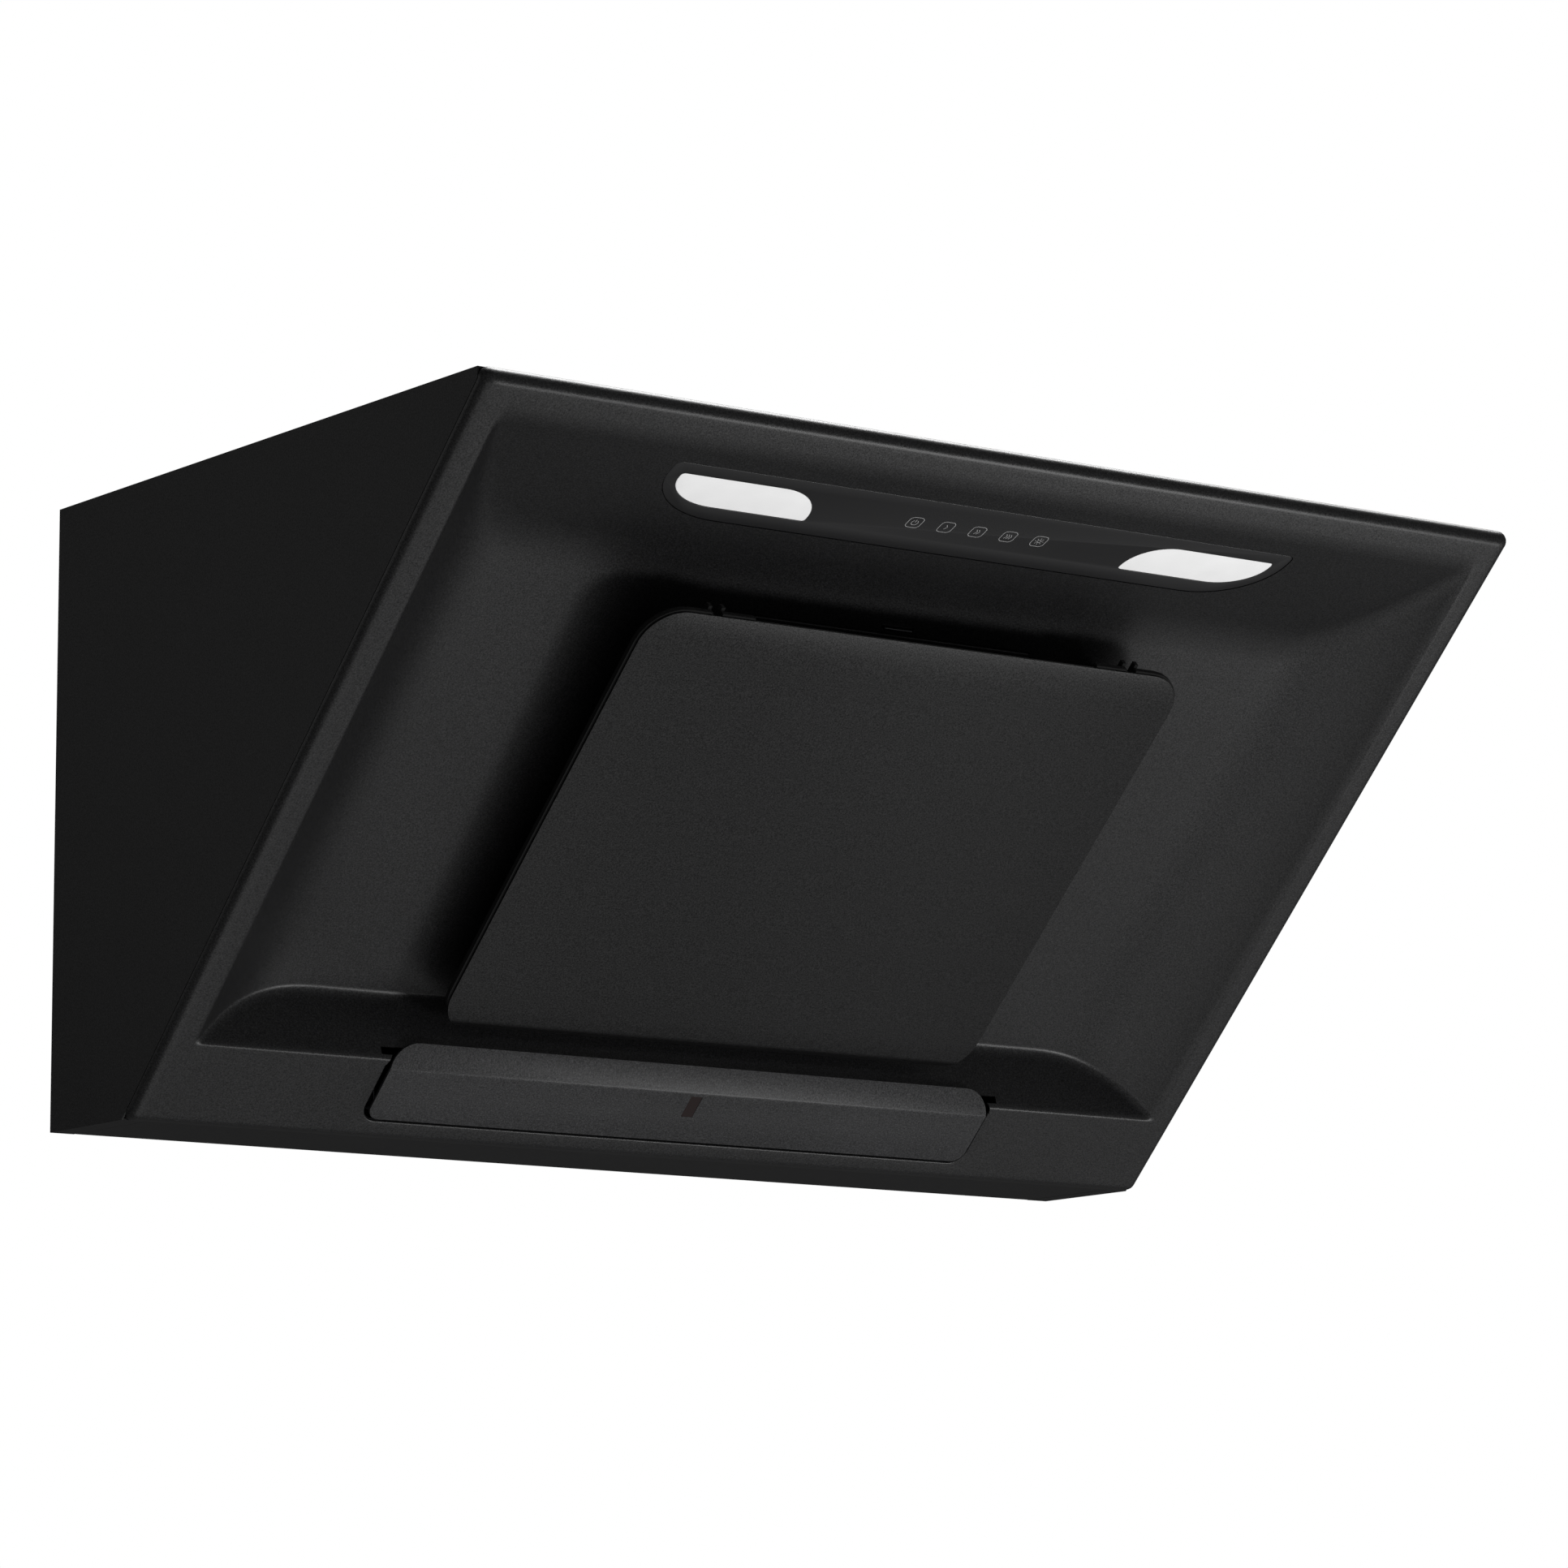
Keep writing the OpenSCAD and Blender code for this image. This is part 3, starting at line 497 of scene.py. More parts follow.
def on_edge_of(bm, gap):
    """The open edges that border an opening's block."""
    def near(v):
        return abs(v.co.x) < gap[0] + 0.1 and gap[1] - 0.1 < v.co.y < gap[2] + 0.1
    return [e for e in bm.edges if e.is_boundary and near(e.verts[0]) and near(e.verts[1])]


def fill(bm, gap, edges, out):
    """Closes an opening's block up to the edges of the hole in it."""
    bmesh.ops.triangle_fill(bm, use_beauty=True, use_dissolve=False, edges=on_edge_of(bm, gap) + edges, normal=out)
    for f in bm.faces:
        f.normal_update()
        if inside(f, gap) and f.normal.dot(out) < 0:
            f.normal_flip()


def cut_mouth(bm):
    """The tray's mouth: round lower corners and an edge that turns in."""
    top, rings, bends = TRAY_BLOCK[2], [], 4
    for turn, drop in [(90 * i / bends, 0) for i in range(bends + 1)] + [(90, MOUTH_SKIRT)]:
        a = math.radians(turn)
        lo, hi, corners = grown(COVER, COVER_GAP + MOUTH_LIP * (1 - math.sin(a)))
        half = outline(lo, (0, hi[1]), [corners[0]] + [(0, 0)] * 3)[:CORNER_STEPS + 1]
        path = half + [(-x, y) for x, y in reversed(half)]
        depth = MOUTH_LIP * (math.cos(a) - 1) - drop
        verts = [bm.verts.new((x, y, depth)) for x, y in path]
        if rings:
            ends = [bm.verts.new((x, top, depth)) for x in (lo[0], hi[0])]
        else:                                  # the first ring starts and ends at the sheet's own corners
            ends = [min((v for v in bm.verts if v.is_boundary), key=lambda v: (v.co - Vector((x, top, 0))).length)
                    for x in (lo[0], hi[0])]
        verts = [ends[0]] + verts + [ends[1]]
        rings.append([bm.edges.new(pair) for pair in zip(verts, verts[1:])])
    fill(bm, TRAY_BLOCK, rings[0], Vector((0, 0, 1)))
    # the turned-in edge looks towards the mouth's middle and out of the slope
    side, low, middle_t, out = COVER["hi"][0] - 10, COVER["lo"][1] + 4, 40, 8
    for a, b in zip(rings, rings[1:]):
        for f in bmesh.ops.bridge_loops(bm, edges=a + b)["faces"]:
            f.normal_update()
            at = f.calc_center_median()
            towards = Vector((-at.x if abs(at.x) > side else 0, middle_t - at.y if at.y < low else 0, out))
            if f.normal.dot(towards) < 0:
                f.normal_flip()


FLANGE_SETBACKS = (8.2, 4.0)                   # behind the lower rim's centre, where the sheet meets the casing
RIM_STEPS = 14                                 # segments round the upper rim
LOW_RIM_STEPS = 5                              # segments round the lower rim
# rows of the grid as (up the slope, step from there on): finest where the sheet creases,
# and with one on each edge of an opening
ROW_STOPS = [(7, 11), (62, 1.5), (65, 0.9), (72.5, 1.5), (86, 1.0), (98, 4), (110, 13), (150, 29), (441, 3),
             (444, 3), (447, 2.8), (513, 2.6), (579, 1.2), (598, 4.4)]
# the same across, from the middle to the right
COLUMN_STOPS = [(0, 14), (14, 18), (122, 18), (TRAY_MOUTH[0], 4.2), (TRAY_BLOCK[0], 2), (STRIP_BLOCK[0], 5),
                (310, 2.4), (414, 1.5), (432, 4)]


def rim_rows(shape):
    """Up-slope stations as (centre of the rim circle, outward direction), from the underside to the top."""
    r = shape.rim_radius
    slope_len = BODY_H * math.sqrt(2)
    low = r * math.tan(math.radians(22.5))
    high = slope_len - r * (1 + math.sqrt(2))
    back = Vector((0, -ROOT_HALF, -ROOT_HALF))           # towards the wall, level
    down, up = Vector((0, -ROOT_HALF, ROOT_HALF)), Vector((0, ROOT_HALF, -ROOT_HALF))
    low_centre, high_centre = Vector((0, low, -r)), Vector((0, high, -r))
    rows = [(low_centre + back * s, down) for s in FLANGE_SETBACKS]
    for i in range(LOW_RIM_STEPS + 1):
        a = math.radians(135 - 45 * i / LOW_RIM_STEPS)
        rows.append((low_centre, Vector((0, math.cos(a), math.sin(a)))))
    for t in stations([(low, 3.9)] + ROW_STOPS + [(high, 1)])[1:-1]:
        rows.append((Vector((0, t, -r)), Vector((0, 0, 1))))
    for i in range(RIM_STEPS + 1):
        a = math.radians(90 - 135 * i / RIM_STEPS)
        rows.append((high_centre, Vector((0, math.cos(a), math.sin(a)))))
    rows.append((high_centre + back, up))
    return rows


def rim_columns(shape):
    """Across stations as (x, share of the rim radius), from the left side to the right."""
    r = shape.rim_radius
    flat = HALF_W - r
    half = stations(COLUMN_STOPS + [(flat, 1)])
    ends = [(flat + r * math.sin(math.radians(15 * i)), math.cos(math.radians(15 * i))) for i in range(1, 7)]
    side = [(x, 1.0) for x in half] + ends
    return [(-x, share) for x, share in reversed(side[1:])] + side


def build_front(shape, finish):
    """The deep-drawn front: rolled rim, flat border, scooped recess, brow and lower wall, in one sheet."""
    rows, columns = rim_rows(shape), rim_columns(shape)
    bm = bmesh.new()
    bmesh.ops.create_grid(bm, x_segments=len(columns) - 1, y_segments=len(rows) - 1, size=0.5)
    for v in bm.verts:
        x, share = columns[round((v.co.x + 0.5) * (len(columns) - 1))]
        centre, out = rows[round((v.co.y + 0.5) * (len(rows) - 1))]
        rise = centre.y + MOUTH_ROUND - TRAY_MOUTH[2]
        if abs(abs(x) - TRAY_MOUTH[0]) < 0.01 and TRAY_MOUTH[1] < centre.y < TRAY_MOUTH[2] + 0.01:
            x = math.copysign(TRAY_MOUTH[0] - MOUTH_LIP - MOUTH_ROUND
                              + math.sqrt(max(MOUTH_ROUND ** 2 - max(rise, 0.0) ** 2, 0.0)), x)
        v.co = centre + out * shape.rim_radius * max(share, 0.0) + Vector((x, 0, 0))
        if out.z == 1 and share == 1:
            v.co.z -= recess_depth(shape, x, v.co.y)
    bmesh.ops.remove_doubles(bm, verts=list(bm.verts), dist=0.01)
    # joggled flange that tucks under the casing
    bm.normal_update()
    for tuck, reach in ((1.5, 0.0), (0.0, 8.0)):
        rim = [e for e in bm.edges if e.is_boundary]
        new = verts_of(bmesh.ops.extrude_edge_only(bm, edges=rim))
        for v in new:
            old = next(e.other_vert(v) for e in v.link_edges if e.other_vert(v) not in new)
            v.co -= old.normal * tuck
            v.co += Vector((0, -ROOT_HALF, -ROOT_HALF)) * reach
        bm.normal_update()
    for gap in (FILTER_GAP, CATCH_SLOT, TRAY_MOUTH, TRAY_BLOCK, STRIP_BLOCK):
        faces = [f for f in bm.faces if inside(f, gap) and f.normal.z > 0.1]
        bmesh.ops.delete(bm, geom=faces, context="FACES")
    # the strip's window, cut with round corners into the flat of the brow
    to_slope = slope_frame(shape).inverted() @ brow_frame(shape)
    window = loop(bm, outline(*grown(STRIP, 0.5)))
    for v in {v for e in window for v in e.verts}:
        v.co = to_slope @ v.co
    fill(bm, STRIP_BLOCK, window, to_slope.to_3x3() @ Vector((0, 0, 1)))
    cut_mouth(bm)
    return add_piece("front_pressing", bm, slope_frame(shape), "hood", finish, ["front_frame"],
                     [("SOLIDIFY", dict(thickness=SHEET * MM, offset=-1.0, use_even_offset=False))], 32)


class HOOD_OT_front(bpy.types.Operator):
    """Builds the deep-drawn front with its recess and rolled rim"""
    bl_idname = "hood.front"
    bl_label = "Pressed front"

    def execute(self, context):
        build_front(context.scene.hood_shape, finishes(context.scene.hood_finish)["front_coat"])
        return {"FINISHED"}


# ---------------------------------------------------------------- casing
class HOOD_OT_casing(bpy.types.Operator):
    """Builds the folded casing and the wall plates"""
    bl_idname = "hood.casing"
    bl_label = "Casing"

    def execute(self, context):
        coat = finishes(context.scene.hood_finish)
        for node in ("left_side_panel", "right_side_panel", "top_panel", "back_panel", "bottom_panel"):
            refine(node, coat["casing_coat"], 0.5, 3)
        refine("wall_plates", coat["zinc_sheet"], 0.4)
        return {"FINISHED"}


# ---------------------------------------------------------------- suction panel
def panel_frame(shape):
    """Slope coordinates leant with the closed panel, about its hinge."""
    hinge, depth, tilt = 448.0, -15.0, math.radians(1.2)
    own_depth = -11.0                          # of the hinge, in the panel's coordinates
    return (slope_frame(shape) @ Matrix.Translation((0, hinge, depth)) @ Matrix.Rotation(tilt, 4, "X")
            @ Matrix.Translation((0, -hinge, -own_depth)))


def build_panel_plate(shape, finish):
    """Flat plate whose lower edge rolls back in a quarter circle."""
    half, low, high, face = 234.0, 88.0, 459.5, -1.0
    roll, thickness = 11.0, 1.5
    bm = bmesh.new()
    points = outline((-half, low), (half, high), [(30, 30)] * 4, 20)
    bm.faces.new([bm.verts.new((x, y, 0)) for x, y in points])
    bends = [low + roll * (1 - math.cos(math.radians(a))) for a in range(8, 90, 8)]
    for t in bends + [low + roll, low + 60, high - 60]:
        slice_at(bm, (0, t, 0), (0, 1, 0))
    for v in bm.verts:
        reach = min(max(low + roll - v.co.y, 0.0), roll)
        v.co.z = face - (roll - math.sqrt(roll * roll - reach * reach))
    face_out(bm)
    return add_piece("suction_panel_plate", bm, panel_frame(shape), "baffle", finish,
                     ["baffle_plate"], [wall(thickness), rounded(0.6)])


class HOOD_OT_suction_panel(bpy.types.Operator):
    """Builds the hinged suction panel with its back frame, hinges and catches"""
    bl_idname = "hood.suction_panel"
    bl_label = "Suction panel"

    def execute(self, context):
        coat = finishes(context.scene.hood_finish)
        # darkened copy of the front's paint on the panel: painted shade
        build_panel_plate(context.scene.hood_shape, coat["panel_coat_painted_shade"])
        # the back frame, hinge ears and hinge brackets take the darkened black: painted shade
        refine("baffle_back_frame", coat["black_lug_painted_shade"], 0.5)
        refine("baffle_hinge_ears", coat["black_lug_painted_shade"], 0.4)
        refine("baffle_hinge_pins", coat["black_steel"], 0.3)
        refine("hinge_brackets", coat["black_lug_painted_shade"], 0.4)
        refine("catch_posts", coat["black_abs"], 0.6)
        refine("catch_studs", coat["turned_steel"], 0.5)
        return {"FINISHED"}


# ---------------------------------------------------------------- oil tray
def build_tray_front(shape, finish):
    """Tray front with a bent-back upper strip and a small window."""
    crease, bend, proud, crest, thickness = 61.0, math.radians(30), 1.8, 2.4, 2.0
    low, bend_r = COVER["lo"][1], 4.0
    window = (5.0, 39.0, 58.0)
    bm = bmesh.new()
    points = outline(**COVER)
    bm.faces.new([bm.verts.new((x, y, 0)) for x, y in points])
    spread = bend_r * bend / 2
    cuts = [crease - spread + 2 * spread * i / 6 for i in range(7)] + [window[1], window[2]]
    planes = [((0, t, 0), (0, 1, 0)) for t in cuts] + [((s * window[0], 0, 0), (1, 0, 0)) for s in (-1, 1)]
    for place, normal in planes:
        slice_at(bm, place, normal)
    bmesh.ops.delete(bm, geom=[f for f in bm.faces if inside(f, window)], context="FACES")
    for v in bm.verts:
        past = v.co.y - (crease - spread)
        rise = (crest - proud) / (crease - low)
        if past <= 0:
            v.co.z = proud + (v.co.y - low) * rise
        else:
            turned = min(past / bend_r, bend)
            start_z = proud + (crease - spread - low) * rise
            straight = max(past - bend_r * bend, 0.0)
            v.co.y = crease - spread + bend_r * math.sin(turned) + straight * math.cos(bend)
            v.co.z = start_z - bend_r * (1 - math.cos(turned)) - straight * math.sin(bend)
    face_out(bm)
    return add_piece("oil_tray_front", bm, slope_frame(shape), "tray", finish, ["tray_cover"],
                     [wall(thickness), rounded(0.5)])


class HOOD_OT_oil_tray(bpy.types.Operator):
    """Builds the slide-out oil tray with its front, window and rails"""
    bl_idname = "hood.oil_tray"
    bl_label = "Oil tray"

    def execute(self, context):
        coat = finishes(context.scene.hood_finish)
        # lightened copy of the front's paint on the tray front: painted light
        build_tray_front(context.scene.hood_shape, coat["tray_coat_painted_light"])
        refine("level_window", coat["smoked_window"], 0.3)
        refine("oil_tray", coat["black_abs"], 0.5)
        refine("tray_runners", coat["zinc_sheet"], 0.3)
        return {"FINISHED"}


# ---------------------------------------------------------------- touch strip and lamps
LENS = dict(lo=(138.0, -64.5), hi=(259.0, -33.2), corners=[(2.5, 2.5), (42, 28), (2.5, 2.5), (36, 28)])
GLASS_FACE, GLASS_DEPTH = -0.3, 2.0


def mirrored(points, side):
    """The points, or their mirror image for the left side."""
    return points if side > 0 else [(-x, y) for x, y in points]


def build_touch_strip(shape, finish):
    """Tinted strip with two leaf-shaped windows for the lenses."""
    bm = bmesh.new()
    edges = loop(bm, outline(STRIP["lo"], STRIP["hi"], STRIP["corners"]))
    for side in (-1, 1):
        edges += loop(bm, mirrored(outline(*grown(LENS, 0.2)), side))
    bmesh.ops.triangle_fill(bm, use_beauty=True, use_dissolve=True, edges=edges, normal=(0, 0, 1))
    bmesh.ops.translate(bm, vec=(0, 0, GLASS_FACE), verts=list(bm.verts))
    thicken(bm, GLASS_DEPTH)
    return add_piece("touch_strip_glass", bm, brow_frame(shape), "hood", finish,
                     ["control_glass"], [rounded(0.35)])


def build_lens(shape, finish, side, node):
    """Leaf-shaped opal lens, slightly sunk and rounded at its rim."""
    bm = bmesh.new()
    bm.faces.new([bm.verts.new((x, y, 0)) for x, y in mirrored(outline(**LENS), side)])
    bmesh.ops.translate(bm, vec=(0, 0, GLASS_FACE - 0.1), verts=list(bm.verts))
    thicken(bm, GLASS_DEPTH - 0.2)
    return add_piece(node + "_opal", bm, brow_frame(shape), "hood", finish, [node], [rounded(0.6)])


def stroke(bm, points, width, closed=False):
    """A flat line of even width through the points."""
    count = len(points)
    pairs = []
    for i, p in enumerate(points):
        before = Vector(points[i - 1] if closed or i else p)
        after = Vector(points[(i + 1) % count] if closed or i < count - 1 else p)
        along = (after - before).normalized()
        side = Vector((-along.y, along.x)) * width / 2
        pairs.append([bm.verts.new((*(Vector(p) + s), 0)) for s in (side, -side)])
    for i in range(count if closed else count - 1):
        a, b = pairs[i], pairs[(i + 1) % count]
        bm.faces.new((a[0], a[1], b[1], b[0]))


def arc(cx, cy, r, a0, a1, steps=16):
    """Points along an arc, angles in degrees."""
    return [(cx + r * math.cos(math.radians(a0 + (a1 - a0) * i / steps)),
             cy + r * math.sin(math.radians(a0 + (a1 - a0) * i / steps))) for i in range(steps + 1)]


def chevrons(bm, cx, cy, count, line):
    """One, two or three arrowheads for the fan's speeds."""
    for k in range(count):
        x = cx + 2.0 * (k - (count - 1) / 2)
        stroke(bm, [(x - 0.8, cy + 2.5), (x + 0.8, cy), (x - 0.8, cy - 2.5)], line)


def build_touch_marks(shape, finish):
    """Five printed marks: on and off, three fan speeds and the lamp, each in a rounded square."""
    pitch, half, corner, cy, line = 27.3, 5.8, 3.2, -47.5, 0.48
    ring, gap, bulb, rays = 2.6, 60, 1.5, (2.4, 3.7)     # on-off ring and its gap in degrees; the lamp's sun
    print_depth, sink = 0.05, 0.06
    bm = bmesh.new()
    for i in range(5):
        cx = pitch * (i - 2)
        stroke(bm, outline((cx - half, cy - half), (cx + half, cy + half), [(corner, corner)] * 4, 6), line, True)
        if i == 0:
            stroke(bm, arc(cx, cy - 0.2, ring, 90 + gap / 2, 450 - gap / 2), line)
            stroke(bm, [(cx, cy + 0.3), (cx, cy + 3.2)], line)
        elif i == 4:
            stroke(bm, arc(cx, cy, bulb, 0, 360)[:-1], line, True)
            for k in range(8):
                c, s = math.cos(math.radians(45 * k)), math.sin(math.radians(45 * k))
                stroke(bm, [(cx + r * c, cy + r * s) for r in rays], line)
        else:
            chevrons(bm, cx, cy, i, line)
    bmesh.ops.recalc_face_normals(bm, faces=list(bm.faces))
    bmesh.ops.translate(bm, vec=(0, 0, GLASS_FACE + sink), verts=list(bm.verts))
    thicken(bm, print_depth)
    return add_piece("touch_marks", bm, brow_frame(shape), "hood", finish)


class HOOD_OT_controls(bpy.types.Operator):
    """Builds the touch strip, its printed marks, the lamp lenses and what is behind them"""
    bl_idname = "hood.controls"
    bl_label = "Touch strip and lamps"

    def execute(self, context):
        shape = context.scene.hood_shape
        coat = finishes(context.scene.hood_finish)
        build_touch_strip(shape, coat["touch_strip"])
        build_touch_marks(shape, coat["mark_ink"])
        for side, name in ((-1, "left"), (1, "right")):
            build_lens(shape, coat["opal_acrylic"], side, "lamp_lens_" + name)
            refine("led_board_" + name, coat["white_board"], 0.1, 1)
        refine("control_carrier", coat["black_abs"], 0.3)
        refine("touch_board", coat["green_board"], 0.1, 1)
        return {"FINISHED"}


# ---------------------------------------------------------------- grease filter
def build_filter_mesh(shape, finish):
    """Two layers of expanded aluminium mesh, one turned across the other."""
    half, low, high = 112.0, 160.0, 431.0
    strands, reach, stretch, gap = 44, 260, (0.8, 1.35), 1.2       # diamonds stretched one way, then the other
    bm = bmesh.new()
    for layer, (across, up) in enumerate((stretch, stretch[::-1])):
        made = bmesh.ops.create_grid(bm, x_segments=strands, y_segments=strands, size=reach)["verts"]
        bmesh.ops.rotate(bm, cent=(0, 0, 0), matrix=Matrix.Rotation(math.radians(45), 3, "Z"), verts=made)
        bmesh.ops.scale(bm, vec=(across, up, 1), verts=made)
        bmesh.ops.translate(bm, vec=(0, (low + high) / 2, -shape.floor_depth - 3.5 - gap * layer), verts=made)
    for place, normal in (((half, 0, 0), (1, 0, 0)), ((-half, 0, 0), (-1, 0, 0)),
                          ((0, high, 0), (0, 1, 0)), ((0, low, 0), (0, -1, 0))):
        slice_at(bm, place, normal, True)
    return add_piece("filter_mesh_strands", bm, slope_frame(shape), "hood", finish,
                     ["filter_mesh"], [("WIREFRAME", dict(thickness=0.9 * MM, use_even_offset=False))])


class HOOD_OT_filter(bpy.types.Operator):
    """Builds the grease filter and its catch"""
    bl_idname = "hood.filter"
    bl_label = "Grease filter"

    def execute(self, context):
        coat = finishes(context.scene.hood_finish)
        build_filter_mesh(context.scene.hood_shape, coat["mill_aluminium"])
        # the filter frame takes the black casing paint, not bare aluminium, so its sliver seen above the panel stays
        # dark: painted shade
        refine("filter_frame", coat["casing_coat"], 0.8, 3)
        refine("filter_catch", coat["turned_steel"], 0.2, 1)
        return {"FINISHED"}


# ---------------------------------------------------------------- blower
def fan_frame():
    """Fan coordinates to the row frame: Z runs from the wall into the room."""
    lo, hi = (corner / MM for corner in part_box("impeller"))
    centre = (lo + hi) / 2
    return Matrix.Translation((centre.x, 0, centre.z)) @ Matrix.Rotation(math.radians(90), 4, "X")


def build_impeller(finish):
    """Squirrel-cage impeller: a cupped disc, a front ring and forward-curved blades."""
    lo, hi = (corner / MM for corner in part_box("impeller"))
    outer = (hi.x - lo.x) / 2
    back, front, hub, count = -hi.y, -lo.y, 66.0, 40
    bm = bmesh.new()
    lathe(bm, [(6, hub), (56, hub), (56, back), (outer, back), (outer, back + 1.5), (57.5, back + 1.5),
               (57.5, hub + 1.5), (16, hub + 1.5), (14, hub + 14), (6, hub + 14), (6, hub)])
    ring = bmesh.new()
    lathe(ring, [(outer - 17, front - 2), (outer, front - 2), (outer, front), (outer - 17, front),
                 (outer - 17, front - 2)])
    blade = bmesh.new()
    curve = arc(outer - 22, -15.5, 16.5, 96, 34, 5)
    strip = [blade.verts.new((x, y, back + 0.8)) for x, y in curve]
    edges = [blade.edges.new(pair) for pair in zip(strip, strip[1:])]
    made = bmesh.ops.extrude_edge_only(blade, edges=edges)
    bmesh.ops.translate(blade, vec=(0, 0, front - back - 2), verts=verts_of(made))
    bmesh.ops.recalc_face_normals(blade, faces=list(blade.faces))
    bmesh.ops.solidify(blade, geom=list(blade.faces), thickness=0.8)
    one = bpy.data.meshes.new("blade")
    blade.to_mesh(one)
    for i in range(count):
        start_at = len(bm.verts)
        bm.from_mesh(one)
        bm.verts.ensure_lookup_table()
        bmesh.ops.rotate(bm, cent=(0, 0, 0), matrix=Matrix.Rotation(math.radians(360 * i / count), 3, "Z"),
                         verts=bm.verts[start_at:])
    ring_mesh = bpy.data.meshes.new("ring")
    ring.to_mesh(ring_mesh)
    bm.from_mesh(ring_mesh)
    for spare in (one, ring_mesh):
        bpy.data.meshes.remove(spare)
    blade.free()
    ring.free()
    return add_piece("impeller_cage", bm, fan_frame(), "fan", finish, ["impeller"])


class HOOD_OT_blower(bpy.types.Operator):
    """Builds the scroll, motor and impeller"""
    bl_idname = "hood.blower"
    bl_label = "Blower"

    def execute(self, context):
        coat = finishes(context.scene.hood_finish)
        for node in ("scroll_housing", "scroll_cover", "outlet_box"):
            refine(node, coat["zinc_sheet"], 0.3, 1)
        refine("inlet_ring", coat["black_abs"], 0.3)
        refine("rubber_bushes", coat["bush_rubber"], 0.6)
        refine("motor", coat["cast_aluminium"], 0.8)
        refine("motor_shaft", coat["turned_steel"], 0.5)
        refine("impeller_nut", coat["zinc_sheet"], 0.4)
        build_impeller(coat["mill_aluminium"])
        return {"FINISHED"}


# ---------------------------------------------------------------- outlet, electrics, screws
class HOOD_OT_outlet(bpy.types.Operator):
    """Builds the duct collar and its back-draught flaps"""
    bl_idname = "hood.outlet"
    bl_label = "Duct collar"

    def execute(self, context):
        coat = finishes(context.scene.hood_finish)
        refine("duct_collar", coat["black_abs"], 0.4)
        refine("damper_pin", coat["turned_steel"], 0.2)
        for side in ("left", "right"):
            refine("damper_flap_" + side, coat["grey_abs"], 0.25)
        return {"FINISHED"}


class HOOD_OT_electrics(bpy.types.Operator):
    """Builds the power box, its board, the capacitor and the cable gland"""
    bl_idname = "hood.electrics"
    bl_label = "Electrics"

    def execute(self, context):
        coat = finishes(context.scene.hood_finish)
        refine("power_box", coat["black_abs"], 0.8, 3)
        refine("power_box_lid", coat["black_abs"], 0.6, 3)
        refine("power_board", coat["green_board"], 0.2, 1)
        refine("capacitor", coat["grey_abs"], 1.5, 3)
        refine("cable_gland", coat["black_abs"], 0.5)
        return {"FINISHED"}


class HOOD_OT_screws(bpy.types.Operator):
    """Builds the screws"""
    bl_idname = "hood.screws"
    bl_label = "Screws"

    def execute(self, context):
        coat = finishes(context.scene.hood_finish)
        for node in ("panel_screws", "collar_screws", "motor_screws"):
            refine(node, coat["zinc_sheet"], 0.6, 3)
        return {"FINISHED"}


# ---------------------------------------------------------------- stage
MIDDLE = (0.0, -0.3, 0.0)
# name, place, what it looks at, energy, settings; the areas are in watts and metres
LIGHTS = (
    ("sun", (2.0, 1.2, 4.0), MIDDLE, 3.0, dict(angle=math.radians(35))),
    ("front_softbox", (1.6, -1.95, -1.45), MIDDLE, 17.0, dict(size=0.6)),
    ("left_softbox", (-0.4, -0.95, -1.7), MIDDLE, 3.2, dict(size=1.8)),
    ("right_softbox", (1.9, -0.75, -1.45), MIDDLE, 0.7, dict(size=1.3)),
    ("low_softbox", (0.4, -0.95, -1.65), (0.4, -0.95, 0), 3.2, dict(shape="RECTANGLE", size=3.4, size_y=1.5)),
    ("rear_softbox", (-2.6, 1.6, 0.6), MIDDLE, 2.8, dict(size=1.6)),
)


def add_light(name, place, target, energy, settings):
    """A light, hidden from the camera, that looks at a point."""
    data = bpy.data.lights.new(name, "SUN" if "angle" in settings else "AREA")
    data.energy = energy
    for key, value in settings.items():
        setattr(data, key, value)
    lamp = bpy.data.objects.new(name, data)
    bpy.context.scene.collection.objects.link(lamp)
    lamp.location = place
    lamp.rotation_euler = (Vector(target) - Vector(place)).to_track_quat("-Z", "Y").to_euler()
    lamp.visible_camera = False


def build_world(scene):
    """A white surround for the eye; the light it sheds comes mostly from the room's side."""
    world = bpy.data.worlds.new("studio")
    scene.world = world
    world.use_nodes = True
    tree = world.node_tree
    tree.nodes.clear()
    direction = add_node(tree, "ShaderNodeTexCoord").outputs["Generated"]
    lower_front = add_node(tree, "ShaderNodeVectorMath", {0: direction}, operation="DOT_PRODUCT")
    lower_front.inputs[1].default_value = (0.0, -0.8, -0.6)
    level = add_node(tree, "ShaderNodeMapRange", {"Value": lower_front.outputs["Value"], "From Min": -0.5,
                                                  "From Max": 0.6, "To Min": 0.045, "To Max": 0.18})
    fill = add_node(tree, "ShaderNodeBackground", {"Strength": level.outputs[0]})
    seen = add_node(tree, "ShaderNodeBackground", {"Strength": 1.0})
    for shade in (fill, seen):
        shade.inputs["Color"].default_value = (1, 1, 1, 1)
    path = add_node(tree, "ShaderNodeLightPath")
    mix = add_node(tree, "ShaderNodeMixShader", {0: path.outputs["Is Camera Ray"], 1: fill.outputs[0],
                                                 2: seen.outputs[0]})
    add_node(tree, "ShaderNodeOutputWorld", {"Surface": mix.outputs[0]})


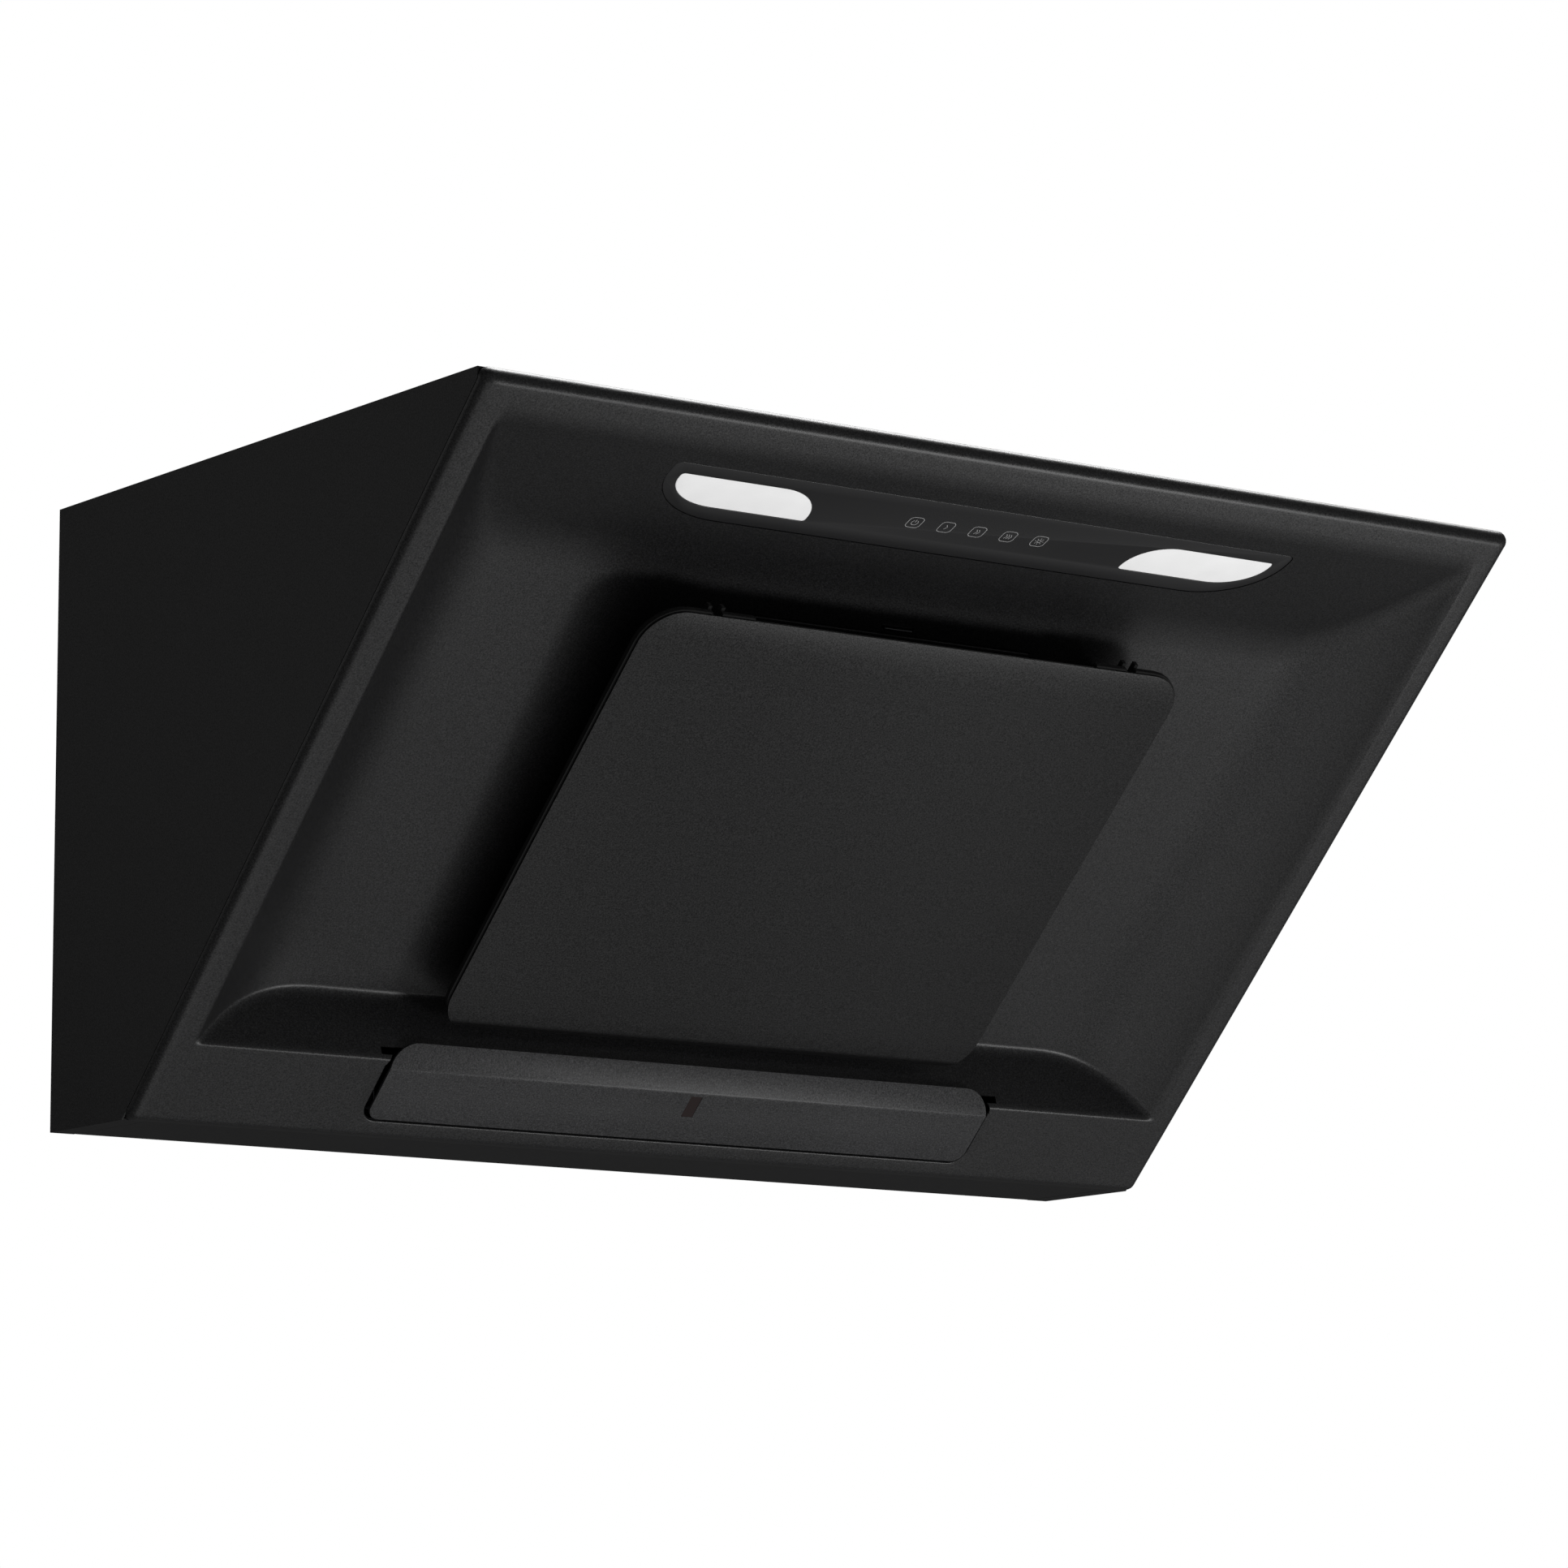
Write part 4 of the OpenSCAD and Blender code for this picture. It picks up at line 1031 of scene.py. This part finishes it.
def build_floor():
    """Plain pale floor, well below the hood."""
    drop, half = 1.75, 14.0
    bm = bmesh.new()
    bmesh.ops.create_grid(bm, x_segments=1, y_segments=1, size=half)
    bmesh.ops.translate(bm, vec=(0, 0, RIM[0].z * MM - drop), verts=list(bm.verts))
    mesh = bpy.data.meshes.new("floor")
    bm.to_mesh(mesh)
    bm.free()
    floor = bpy.data.objects.new("floor", mesh)
    bpy.context.scene.collection.objects.link(floor)
    material, tree, shader, where = start("pale_floor", Roughness=0.9)
    lay(tree, shader, pattern(tree, where, 60.0), [(0.3, linear("E9E9E8")), (0.7, linear("EEEEED"))])
    # clear from below, so that the underside can be looked at
    clear = add_node(tree, "ShaderNodeBsdfTransparent")
    facing = add_node(tree, "ShaderNodeNewGeometry").outputs["Backfacing"]
    both = add_node(tree, "ShaderNodeMixShader", {0: facing, 1: shader.outputs[0], 2: clear.outputs[0]})
    output = next(node for node in tree.nodes if node.bl_idname == "ShaderNodeOutputMaterial")
    tree.links.new(both.outputs[0], output.inputs["Surface"])
    mesh.materials.append(material)
    floor.visible_diffuse = floor.visible_glossy = False     # the lights alone shape the black paint


def build_camera(scene):
    """Looks up at the hood from the left, through a long lens."""
    data = bpy.data.cameras.new("camera")
    data.lens = 136.99
    data.sensor_width = 36.0
    data.clip_end = 60.0
    camera = bpy.data.objects.new("camera", data)
    scene.collection.objects.link(camera)
    place = Matrix.Translation((-2.5097, -3.6410, -0.6749))
    for degrees, axis in ((-36.585, "Z"), (9.528, "X"), (0.278, "Y"), (90, "X")):     # heading, rise, roll
        place = place @ Matrix.Rotation(math.radians(degrees), 4, axis)
    camera.matrix_world = place
    scene.camera = camera


class HOOD_OT_stage(bpy.types.Operator):
    """Adds the floor, the lights, the surround and the camera"""
    bl_idname = "hood.stage"
    bl_label = "Studio"

    def execute(self, context):
        scene = context.scene
        build_world(scene)
        build_floor()
        build_camera(scene)
        for name, place, target, energy, settings in LIGHTS:
            add_light(name, place, target, energy, settings)
        scene.view_settings.view_transform = "Standard"
        return {"FINISHED"}


# ---------------------------------------------------------------- add-on
BUILDERS = (HOOD_OT_front, HOOD_OT_casing, HOOD_OT_suction_panel, HOOD_OT_oil_tray, HOOD_OT_controls,
            HOOD_OT_filter, HOOD_OT_blower, HOOD_OT_outlet, HOOD_OT_electrics, HOOD_OT_screws, HOOD_OT_stage)


class HOOD_PT_panel(bpy.types.Panel):
    """Lists the hood's builders and settings"""
    bl_idname = "HOOD_PT_panel"
    bl_label = "Extractor hood"
    bl_space_type = "VIEW_3D"
    bl_region_type = "UI"
    bl_category = "Hood"

    def draw(self, context):
        for group in (context.scene.hood_shape, context.scene.hood_finish):
            box_ui = self.layout.box()
            for name in group.__annotations__:
                box_ui.prop(group, name)
        for builder in BUILDERS:
            self.layout.operator(builder.bl_idname)


CLASSES = (HoodShape, HoodFinish) + BUILDERS + (HOOD_PT_panel,)


def register():
    for cls in CLASSES:
        bpy.utils.register_class(cls)
    bpy.types.Scene.hood_shape = PointerProperty(type=HoodShape)
    bpy.types.Scene.hood_finish = PointerProperty(type=HoodFinish)


def unregister():
    del bpy.types.Scene.hood_shape
    del bpy.types.Scene.hood_finish
    for cls in reversed(CLASSES):
        bpy.utils.unregister_class(cls)


def main():
    register()
    for builder in BUILDERS:
        group, name = builder.bl_idname.split(".")
        getattr(getattr(bpy.ops, group), name)()


if __name__ == "__main__":
    main()
